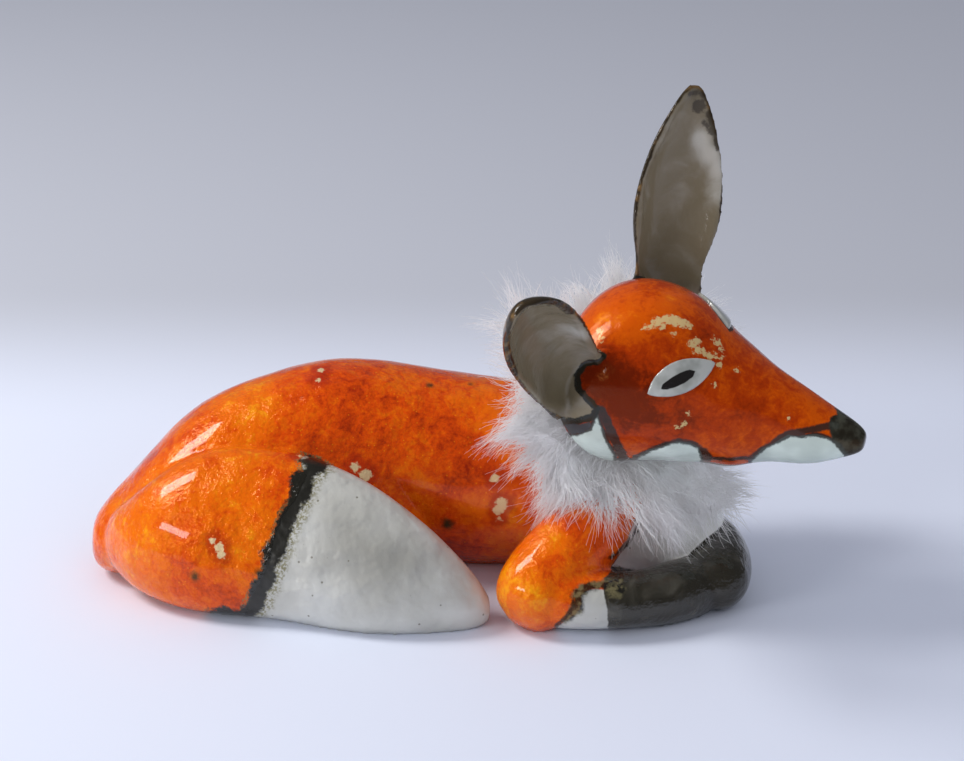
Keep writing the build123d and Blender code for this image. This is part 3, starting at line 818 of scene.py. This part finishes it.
bandWander = number(tree, "SUBTRACT", cloud(tree, place, 6 * mm, detail=1.0), 0.5)
bandField = number(tree, "MULTIPLY_ADD", bandWander, 6 * mm, fieldOf(tree, "band"))
bandMask = mask(tree, place, bandField, 1.1 * mm, 1.2 * mm, soft=0.9 * mm)
colour = blendColours(tree, bandMask, colour, bodyGlaze["black"])
lineMask = mask(tree, place, "line", 0.5 * mm, 2.0 * mm, soft=0.35 * mm)
colour = blendColours(tree, number(tree, "MULTIPLY", lineMask, 0.9), colour, bodyGlaze["black"])
tree.links.new(colour, shader.inputs["Base Color"])
satin = number(tree, "MULTIPLY", whiteMask, mask(tree, place, "tail", 0.0, 4 * mm, soft=1 * mm))
tree.links.new(blendValues(tree, satin, 0.16, 0.36), shader.inputs["Roughness"])
tree.links.new(blendValues(tree, satin, 0.4, 0.25), shader.inputs["Coat Weight"])
# a pale glaze mirrors the room white, the orange one mirrors it through its own colour
plain = number(tree, "MAXIMUM", number(tree, "MAXIMUM", whiteMask, sockMask), bandMask)
tree.links.new(blendColours(tree, plain, bodyGlaze["veil"], (1.0, 1.0, 1.0, 1.0)), shader.inputs["Specular Tint"])
shader.inputs["Coat Roughness"].default_value = 0.05
shader.inputs["IOR"].default_value = 1.5
pitting = blendValues(tree, whiteMask, 0.62, 0.12)
relief(tree, shader, useGroup(tree, skinGroup, "Height", Place=place, Wave=2.6, Pit=pitting), 0.6 * mm)
foxBody.data.materials.clear()
foxBody.data.materials.append(bodyFinish)
print("body glaze is mixed")

headGlaze = {
    "deep": paint(112, 28, 5),
    "middle": paint(178, 54, 5),
    "bright": paint(214, 86, 5),
    "light": paint(240, 132, 14),
    "white": paint(226, 238, 228),
    "whiteShade": paint(202, 214, 204),
    "black": paint(34, 34, 28),
    "nose": paint(70, 72, 62),
    "patch": paint(64, 66, 70),
    "cream": paint(220, 198, 140),
    "earInner": paint(134, 122, 98),
    "earLight": paint(196, 192, 180),
    "earShade": paint(92, 82, 60),
    "earOuter": paint(172, 152, 120),
    "earRim": paint(52, 42, 28),
    "rimBrown": paint(134, 104, 66),
    "veil": (1.0, 0.42, 0.10, 1.0),
}
headFinish, tree, shader, place = newFinish("foxHeadGlaze")
colour = useGroup(tree, mottleGroup, "Colour", Place=place, Tone=fieldOf(tree, "toneAndPaintedLight"), Cloud=15 * mm, Vary=0.62,
                  Deep=headGlaze["deep"], Middle=headGlaze["middle"], Bright=headGlaze["bright"],
                  Light=headGlaze["light"])
creamMask = mask(tree, place, "cream", 1.3 * mm, 1.2 * mm, soft=0.3 * mm)
colour = blendColours(tree, number(tree, "MULTIPLY", creamMask, 0.85), colour, headGlaze["cream"])
whiteMask = mask(tree, place, "white", 0.3 * mm, 4 * mm, soft=0.25 * mm)
shade = step(tree, cloud(tree, place, 12 * mm, detail=2.0), 0.35, 0.7)
whiteColour = blendColours(tree, shade, headGlaze["whiteShade"], headGlaze["white"])
colour = blendColours(tree, whiteMask, colour, whiteColour)
# a thin dark outline runs wherever orange meets white
outline = number(tree, "SUBTRACT", 0.7 * mm, number(tree, "ABSOLUTE", fieldOf(tree, "white")))
lineField1 = number(tree, "MAXIMUM", outline, fieldOf(tree, "line"))
lineMask = mask(tree, place, lineField1, 0.45 * mm, 2.2 * mm, soft=0.35 * mm)
colour = blendColours(tree, number(tree, "MULTIPLY", lineMask, 0.92), colour, headGlaze["black"])
noseMask = mask(tree, place, "nose", 0.5 * mm, 3 * mm, soft=0.4 * mm)
noseColour = blendColours(tree, step(tree, cloud(tree, place, 4 * mm, detail=3.0), 0.35, 0.65), headGlaze["black"],
                          headGlaze["nose"])
colour = blendColours(tree, noseMask, colour, noseColour)
colour = blendColours(tree, mask(tree, place, "patch", 0.5 * mm, 2 * mm), colour, headGlaze["patch"])
earTone = number(tree, "ADD", cloud(tree, place, 12 * mm, detail=4.0, distortion=0.5), fieldOf(tree, "earPale"))
earColour = blendColours(tree, step(tree, earTone, 0.42, 1.1), headGlaze["earInner"], headGlaze["earLight"])
earColour = blendColours(tree, fieldOf(tree, "earDark"), earColour, headGlaze["earShade"])
innerMask = step(tree, fieldOf(tree, "inner"), -0.4 * mm, 0.4 * mm)
earOutside = blendColours(tree, step(tree, cloud(tree, place, 7 * mm, detail=4.0), 0.42, 0.6), headGlaze["earOuter"],
                          headGlaze["earRim"])
earColour = blendColours(tree, innerMask, earOutside, earColour)
rimMask = mask(tree, place, "rim", 0.35 * mm, 3 * mm, soft=0.35 * mm)
rimTone = step(tree, cloud(tree, place, 5 * mm, detail=3.0), 0.48, 0.72)
rimColour = blendColours(tree, rimTone, headGlaze["earRim"], headGlaze["rimBrown"])
earColour = blendColours(tree, rimMask, earColour, rimColour)
earMask = mask(tree, place, "ear", 0.4 * mm, 3 * mm, soft=0.4 * mm)
streakMask = mask(tree, place, "streak", 0.6 * mm, 1.5 * mm, soft=0.5 * mm)
earColour = blendColours(tree, number(tree, "MULTIPLY", streakMask, 0.8), earColour, headGlaze["earRim"])
colour = blendColours(tree, earMask, colour, earColour)
rootMask = number(tree, "SUBTRACT", 1.1 * mm, number(tree, "ABSOLUTE", fieldOf(tree, "ear")))
colour = blendColours(tree, mask(tree, place, rootMask, 0.5 * mm, 3 * mm), colour, headGlaze["black"])
tree.links.new(colour, shader.inputs["Base Color"])
plain = number(tree, "MAXIMUM", number(tree, "MAXIMUM", whiteMask, earMask), lineMask)
tree.links.new(blendColours(tree, plain, headGlaze["veil"], (1.0, 1.0, 1.0, 1.0)), shader.inputs["Specular Tint"])
shader.inputs["Roughness"].default_value = 0.2
shader.inputs["Coat Weight"].default_value = 0.2
shader.inputs["Coat Roughness"].default_value = 0.05
shader.inputs["Coat IOR"].default_value = 1.38
shader.inputs["IOR"].default_value = 1.38
relief(tree, shader, useGroup(tree, skinGroup, "Height", Place=place, Wave=1.6, Pit=0.22), 0.45 * mm)
foxHead.data.materials.clear()
foxHead.data.materials.append(headFinish)
print("head glaze is mixed")

eyeGlaze = {"pale": paint(190, 191, 184), "shade": paint(162, 164, 156), "pupil": paint(22, 16, 14)}
eyeFinish, tree, shader, place = newFinish("foxEyeGlaze")
colour = blendColours(tree, step(tree, cloud(tree, place, 5 * mm, detail=2.0), 0.35, 0.65), eyeGlaze["shade"],
                      eyeGlaze["pale"])
colour = blendColours(tree, mask(tree, place, "pupil", 0.1 * mm, 2 * mm, soft=0.18 * mm), colour, eyeGlaze["pupil"])
tree.links.new(colour, shader.inputs["Base Color"])
shader.inputs["Roughness"].default_value = 0.15
shader.inputs["Coat Weight"].default_value = 0.9
shader.inputs["Coat Roughness"].default_value = 0.04
relief(tree, shader, useGroup(tree, skinGroup, "Height", Place=place, Wave=0.5, Pit=0.3), 0.2 * mm)
for name in ("eyeNear", "eyeFar"):
    pad = bpy.data.objects[name]
    pad.data.materials.clear()
    pad.data.materials.append(eyeFinish)

# ---- cork, peg and cord, which the joint hides ----
corkFinish, tree, shader, place = newFinish("cutCork")
speck = step(tree, crystals(tree, place, 1.6 * mm), 0.3, 0.12)
colour = blendColours(tree, cloud(tree, place, 3 * mm, detail=4.0), paint(150, 108, 66), paint(196, 156, 108))
tree.links.new(blendColours(tree, speck, colour, paint(84, 56, 34)), shader.inputs["Base Color"])
shader.inputs["Roughness"].default_value = 0.85
relief(tree, shader, crystals(tree, place, 1.6 * mm), 0.3 * mm)
pegFinish, tree, shader, place = newFinish("plainBeech")
stretch = tree.nodes.new("ShaderNodeMapping")
stretch.inputs["Scale"].default_value = (1.0, 1.0, 0.15)
tree.links.new(place, stretch.inputs["Vector"])
fibre = cloud(tree, stretch.outputs["Vector"], 0.7 * mm, detail=3.0)
tree.links.new(blendColours(tree, fibre, paint(186, 144, 98), paint(214, 178, 132)), shader.inputs["Base Color"])
shader.inputs["Roughness"].default_value = 0.6
relief(tree, shader, fibre, 0.15 * mm)
cordFinish, tree, shader, place = newFinish("twistedCotton")
twist = tree.nodes.new("ShaderNodeTexWave")
twist.bands_direction = "DIAGONAL"
twist.inputs["Scale"].default_value = 1.0 / (3 * mm)
twist.inputs["Distortion"].default_value = 1.5
tree.links.new(place, twist.inputs["Vector"])
tree.links.new(blendColours(tree, twist.outputs["Fac"], paint(196, 192, 188), paint(230, 226, 222)),
               shader.inputs["Base Color"])
shader.inputs["Roughness"].default_value = 0.9
relief(tree, shader, twist.outputs["Fac"], 0.3 * mm)
for node, finish in (("neck_cork", corkFinish), ("head_cork", corkFinish), ("neck_peg", pegFinish),
                     ("collar_cord", cordFinish)):
    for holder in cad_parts[node].material_slots:
        holder.material = finish
print("hidden pieces are finished")

# ---- down collar ----
down = {
    "ringRadius": 17.7 * mm,
    "ringDrop": 2.0 * mm,
    "tufts": 150,
    "strands": 3300,
    "tuftSets": 4,
    "plumeSets": 2,
    "fluffSets": 2,
    "steps": 8,
    "shortest": 5 * mm,
    "longest": 38 * mm,
    "fluffShortest": 7 * mm,
    "fluffLongest": 17 * mm,
    "tuftWidth": 2.8 * mm,
    "tuftSplay": 3.0 * mm,
    "tuftWiggle": 1.3 * mm,
    "spread": 0.36,
    "weight": 0.40,
    "curl": 0.85,
    "curlSize": 10 * mm,
    "clearance": 0.5 * mm,
    "girth": 0.10 * mm,
    "sides": 3,
    "seed": 11,
    # each row: angle round the ring from its low far side, in degrees, and reach of the tufts there
    "reachShares": ((0, 1.05), (18, 1.15), (40, 0.95), (70, 0.95), (92, 0.6), (135, 0.5), (158, 0.72), (180, 0.86),
                    (210, 0.86), (235, 0.95), (270, 1.05), (300, 1.08), (335, 1.05), (360, 1.05)),
    # how far the tufts may rise towards the head, by angle, so that the ear and the cheek stay free
    "riseShares": ((0, 0.2), (60, 0.15), (110, 0.0), (130, -0.35), (222, -0.3), (242, 0.0), (270, 0.1), (360, 0.2)),
    # loose wisps, each row: angle, tilt towards the head and length in millimetres
    "strays": ((20, 0.85, 52), (28, 0.75, 50), (12, 0.95, 49), (4, 1.0, 46), (120, 0.0, 40), (108, -0.1, 38),
               (300, -0.5, 52), (292, -0.7, 48), (172, -0.5, 37), (205, -0.7, 37), (250, -0.9, 40), (64, 0.0, 36), (238, -0.1, 40),
               (48, 0.35, 44), (41, 0.45, 46), (55, 0.25, 42), (36, 0.55, 46),
               (246, -0.05, 42), (252, 0.0, 42), (258, -0.15, 42), (244, -0.35, 42), (264, -0.3, 42)),
    "strayStrands": 30,
}
core = {"voxel": 1.3 * mm, "smoothing": 8, "sink": 2.9 * mm, "tuftSize": 6 * mm, "tuftHeight": 1.6 * mm}
ringSide = np.array(Vector((0, 0, 1)).cross(neckAxis).normalized())
ringUp = np.cross(np.array(neckAxis), ringSide)
ringAxis = np.array(neckAxis)


def keepClear(points, tree, gap):
    # strands lie on the clay and never pass into it
    for row, point in enumerate(points):
        at, normal, index, distance = tree.find_nearest(Vector(point))
        offset = Vector(point) - at
        if distance < gap or offset.dot(normal) < 0:
            points[row] = np.array(at + normal * gap)
    points[:, 2] = np.maximum(points[:, 2], gap)
    return points


def unit(vectors):
    return vectors / np.linalg.norm(vectors, axis=1)[:, None]


def growStrands(draw, roots, headings, lengths):
    # each strand grows outwards, sinks by its weight and wanders with its neighbours
    steps = down["steps"]
    paths = [roots.copy()]
    places = roots.copy()
    sink = np.array((0, 0, -down["weight"])) * (lengths / down["longest"])[:, None]
    for row in range(steps):
        share = (row + 1) / steps
        wind = np.array([noise.noise_vector(Vector(place) / down["curlSize"]) for place in places])
        headings = headings + (down["curl"] * wind * share + sink * share ** 1.5) * (4.0 / steps)
        headings = unit(headings + draw.normal(0, 0.05, headings.shape))
        moved = places + headings * (lengths / steps)[:, None]
        moved = keepClear(moved, bodyTree, down["clearance"])
        moved = keepClear(moved, headTree, down["clearance"])
        headings = unit(moved - places + 1e-9)
        places = moved
        paths.append(places.copy())
    return np.stack(paths, axis=1)


downFinish, tree, shader, place = newFinish("whiteDown")
colour = blendColours(tree, cloud(tree, place, 6 * mm, detail=2.0), paint(250, 248, 251), paint(255, 254, 255))
tree.links.new(colour, shader.inputs["Base Color"])
shader.inputs["Roughness"].default_value = 0.8
shader.inputs["Specular IOR Level"].default_value = 0.2
shader.inputs["Sheen Weight"].default_value = 1.0
shader.inputs["Sheen Roughness"].default_value = 0.6
shader.inputs["Subsurface Weight"].default_value = 0.7
shader.inputs["Subsurface Radius"].default_value = (1.0, 1.0, 1.0)
shader.inputs["Subsurface Scale"].default_value = 0.3 * mm
# painted light: the down glows faintly, for the light that the barbs pass on to one another more often than a render
# follows it
tree.links.new(colour, shader.inputs["Emission Color"])
shader.inputs["Emission Strength"].default_value = 0.045
relief(tree, shader, cloud(tree, place, 1.2 * mm, detail=3.0), 0.25 * mm)

collarCore = fuseClay("collarCore", ("collar_feathers",), core["voxel"])
places = relax(placesOf(collarCore.data), edgesOf(collarCore.data), core["smoothing"])
setPlaces(collarCore.data, places)
push = core["tuftHeight"] * lumps(places, core["tuftSize"], 2.9) - core["sink"]
corePlaces = places + push[:, None] * normalsOf(collarCore.data)
setPlaces(collarCore.data, corePlaces)
coreNormals = normalsOf(collarCore.data)
collarCore.data.materials.clear()
collarCore.data.materials.append(downFinish)
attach(collarCore, "body")
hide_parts("collar_feathers")
print("collar core:", len(collarCore.data.vertices), "vertices")

draw = np.random.default_rng(down["seed"])
reachAngles, reachLevels = np.array(down["reachShares"]).T


def ringRoots(angle, tilt):
    # roots on the cord and headings away from it
    radial = np.cos(angle)[:, None] * ringSide + np.sin(angle)[:, None] * ringUp
    heading = np.cos(tilt)[:, None] * radial + np.sin(tilt)[:, None] * ringAxis
    return np.array(neckMiddle) - ringAxis * down["ringDrop"] + radial * down["ringRadius"], heading


# every tuft follows one guide, and the last guides are the loose wisps
strays = np.array(down["strays"])
tuftAngles = 2 * math.pi * (np.arange(down["tufts"]) + draw.uniform(-0.5, 0.5, down["tufts"])) / down["tufts"]
tuftLengths = draw.uniform(0.55, 1.05, down["tufts"]) * down["longest"]
tuftLengths *= np.interp(np.degrees(tuftAngles) % 360, reachAngles, reachLevels)
tuftAngles = np.append(tuftAngles, np.radians(strays[:, 0]))
riseAngles, riseLevels = np.array(down["riseShares"]).T
tuftTilts = draw.uniform(-0.95, np.interp(np.degrees(tuftAngles[:down["tufts"]]) % 360, riseAngles, riseLevels))
tuftTilts = np.append(tuftTilts, strays[:, 1])
tuftLengths = np.append(tuftLengths, strays[:, 2] * mm)
tuftRoots, tuftHeadings = ringRoots(tuftAngles, tuftTilts)
guides = growStrands(draw, tuftRoots, tuftHeadings, tuftLengths)
tuftWeights = np.append(np.full(down["tufts"], 1.0), np.full(len(strays), 0.0))
tuftWeights *= (1 - down["strayStrands"] * len(strays) / down["strands"]) / tuftWeights.sum()
tuftWeights[down["tufts"]:] = down["strayStrands"] / down["strands"]


def clearPaths(paths):
    for row in range(1, paths.shape[1]):
        paths[:, row] = keepClear(keepClear(paths[:, row], bodyTree, down["clearance"]), headTree, down["clearance"])
    return paths


def tuftSet(draw):
    # strands start apart, draw together along their guide and part again at the tip
    pick = draw.choice(len(tuftAngles), down["strands"], p=tuftWeights)
    first = draw.uniform(0, 0.35, len(pick))
    last = draw.uniform(0.5, 1.0, len(pick))
    share = first[:, None] + (last - first)[:, None] * np.linspace(0, 1, down["steps"] + 1)
    spot = share * down["steps"]
    low = np.minimum(spot.astype(int), down["steps"] - 1)
    between = (spot - low)[:, :, None]
    rows = pick[:, None]
    paths = guides[rows, low] * (1 - between) + guides[rows, low + 1] * between
    aside = draw.normal(0, down["tuftWidth"], (len(pick), 1, 3))
    splay = draw.normal(0, down["tuftSplay"], (len(pick), 1, 3))
    share = share[:, :, None]
    wiggle = draw.normal(0, down["tuftWiggle"], (len(pick), 1, 3))
    phase = draw.uniform(0, 2 * math.pi, (len(pick), 1, 1))
    paths = paths + aside * np.sin(np.minimum(share * 1.15 + 0.12, 1) * math.pi) ** 0.7 + splay * share ** 2.5
    paths = paths + wiggle * share * np.sin(7 * share + phase)
    return clearPaths(paths)


def plumeSet(draw):
    # single barbs leave the guides and go their own way
    pick = draw.choice(len(tuftAngles), down["strands"], p=tuftWeights)
    start = draw.integers(0, 5, len(pick))
    root = guides[pick, start]
    heading = unit(guides[pick, start + 1] - root) + draw.normal(0, down["spread"], root.shape)
    length = (1 - 0.12 * start) * tuftLengths[pick] * draw.uniform(0.35, 0.85, len(pick))
    return growStrands(draw, root, unit(heading), np.maximum(length, down["shortest"]))


def fluffSet(draw):
    # short barbs stand on the core
    pick = draw.integers(0, len(corePlaces), down["strands"])
    root = corePlaces[pick]
    radial = root - np.array(neckMiddle)
    radial = unit(radial - (radial @ ringAxis)[:, None] * ringAxis)
    swirl = np.array([noise.noise_vector(Vector(place) / down["curlSize"]) for place in root])
    heading = unit(0.8 * coreNormals[pick] + radial + 1.6 * swirl + draw.normal(0, 0.25, root.shape))
    length = draw.uniform(down["fluffShortest"], down["fluffLongest"], len(pick))
    return growStrands(draw, root.copy(), heading, length)


# Geometry Nodes turn the guide lines into tapering barbs
barbTree = bpy.data.node_groups.new("downBarbs", "GeometryNodeTree")
for label, kind, value in (("Geometry", "NodeSocketGeometry", None), ("Girth", "NodeSocketFloat", 0.0002),
                           ("Sides", "NodeSocketInt", 3), ("Finish", "NodeSocketMaterial", None)):
    socket = barbTree.interface.new_socket(label, in_out="INPUT", socket_type=kind)
    if value is not None:
        socket.default_value = value
barbTree.interface.new_socket("Geometry", in_out="OUTPUT", socket_type="NodeSocketGeometry")
barbIn = barbTree.nodes.new("NodeGroupInput")
barbOut = barbTree.nodes.new("NodeGroupOutput")
toCurve = barbTree.nodes.new("GeometryNodeMeshToCurve")
taper = barbTree.nodes.new("GeometryNodeInputNamedAttribute")
taper.inputs["Name"].default_value = "taper"
ring = barbTree.nodes.new("GeometryNodeCurvePrimitiveCircle")
girth = barbTree.nodes.new("ShaderNodeMath")
girth.operation = "MULTIPLY"
ring.inputs["Radius"].default_value = 1.0
toTube = barbTree.nodes.new("GeometryNodeCurveToMesh")
toTube.inputs["Fill Caps"].default_value = True
smooth = barbTree.nodes.new("GeometryNodeSetShadeSmooth")
realize = barbTree.nodes.new("GeometryNodeRealizeInstances")
setFinish = barbTree.nodes.new("GeometryNodeSetMaterial")
for source, target in (
        (barbIn.outputs["Geometry"], toCurve.inputs["Mesh"]),
        (barbIn.outputs["Sides"], ring.inputs["Resolution"]),
        (barbIn.outputs["Girth"], girth.inputs[0]),
        (taper.outputs["Attribute"], girth.inputs[1]),
        (toCurve.outputs["Curve"], toTube.inputs["Curve"]),
        (ring.outputs["Curve"], toTube.inputs["Profile Curve"]),
        (girth.outputs[0], toTube.inputs["Scale"]),
        (toTube.outputs["Mesh"], smooth.inputs["Geometry"]),
        (smooth.outputs["Geometry"], realize.inputs["Geometry"]),
        (realize.outputs["Geometry"], setFinish.inputs["Geometry"]),
        (barbIn.outputs["Finish"], setFinish.inputs["Material"]),
        (setFinish.outputs["Geometry"], barbOut.inputs["Geometry"])):
    barbTree.links.new(source, target)


def barbPiece(name, paths):
    count, points = paths.shape[:2]
    first = np.arange(count)[:, None] * points + np.arange(points - 1)[None, :]
    edges = np.stack((first, first + 1), axis=2).reshape(-1, 2)
    mesh = bpy.data.meshes.new(name)
    mesh.from_pydata(paths.reshape(-1, 3).tolist(), edges.tolist(), [])
    taperShare = 1.0 - 0.75 * np.linspace(0, 1, points) ** 1.5
    keepField(mesh, "taper", np.tile(taperShare, count))
    thing = show(name, mesh)
    grow = thing.modifiers.new("barbs", "NODES")
    grow.node_group = barbTree
    for item in barbTree.interface.items_tree:
        if item.item_type == "SOCKET" and item.in_out == "INPUT":
            if item.name == "Girth":
                grow[item.identifier] = down["girth"]
            elif item.name == "Sides":
                grow[item.identifier] = down["sides"]
            elif item.name == "Finish":
                grow[item.identifier] = downFinish
    finishedMesh(thing)
    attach(thing, "body")
    return thing


kinds = [tuftSet] * down["tuftSets"] + [plumeSet] * down["plumeSets"] + [fluffSet] * down["fluffSets"]
for index, kind in enumerate(kinds):
    paths = kind(draw)
    barbs = barbPiece("collarDown" + str(index + 1), paths)
    print("down", index + 1, len(barbs.data.polygons), "faces")
print("collar is fluffed")

# ---- floor and light ----
studio = {
    "floorColour": paint(230, 236, 252),
    "farColour": paint(196, 199, 209),
    "farStart": 0.10,
    "farEnd": 0.26,
    "worldColour": paint(214, 216, 226),
    "worldStrength": 0.61,
    "mirroredStrength": 0.16,
}


def areaLamp(name, place, towards, width, height, power, colour=(1.0, 1.0, 1.0), mirrored=True):
    lamp = bpy.data.lights.new(name, "AREA")
    lamp.shape = "RECTANGLE"
    lamp.size = width
    lamp.size_y = height
    lamp.energy = power
    lamp.color = colour
    holder = bpy.data.objects.new(name, lamp)
    holder.location = place
    holder.rotation_euler = (Vector(towards) - Vector(place)).to_track_quat("-Z", "Y").to_euler()
    holder.visible_glossy = mirrored
    bpy.context.scene.collection.objects.link(holder)


areaLamp("window", (-0.88, 0.12, 0.89), (-0.02, -0.02, 0.04), 0.30, 0.50, 9.2, (1.0, 0.99, 0.97))
areaLamp("lowWindow", (-0.92, -0.72, 0.42), (-0.05, -0.03, 0.03), 0.50, 0.12, 3.4, (1.0, 0.99, 0.98))
areaLamp("fill", (0.5, -1.0, 0.9), (0, 0, 0.05), 1.0, 1.0, 1.5, (0.96, 0.97, 1.0), mirrored=False)

shape = bmesh.new()
bmesh.ops.create_grid(shape, x_segments=1, y_segments=1, size=4.0)
floorMesh = bpy.data.meshes.new("floor")
shape.to_mesh(floorMesh)
shape.free()
floor = show("floor", floorMesh)
floorFinish, tree, shader, place = newFinish("paleFloor")
parts = tree.nodes.new("ShaderNodeSeparateXYZ")
tree.links.new(place, parts.inputs["Vector"])
farShare = step(tree, parts.outputs["Y"], studio["farStart"], studio["farEnd"])
tree.links.new(blendColours(tree, farShare, studio["floorColour"], studio["farColour"]), shader.inputs["Base Color"])
shader.inputs["Roughness"].default_value = 0.7
floor.data.materials.append(floorFinish)

world = bpy.data.worlds.new("studio")
world.use_nodes = True
sky = world.node_tree.nodes["Background"]
sky.inputs["Color"].default_value = studio["worldColour"]
rays = world.node_tree.nodes.new("ShaderNodeLightPath")
# the room that the glaze mirrors is darker than the light that it gives
strength = blendValues(world.node_tree, rays.outputs["Is Glossy Ray"], studio["worldStrength"],
                       studio["mirroredStrength"])
world.node_tree.links.new(strength, sky.inputs["Strength"])
bpy.context.scene.world = world
bpy.context.scene.view_settings.view_transform = "Standard"
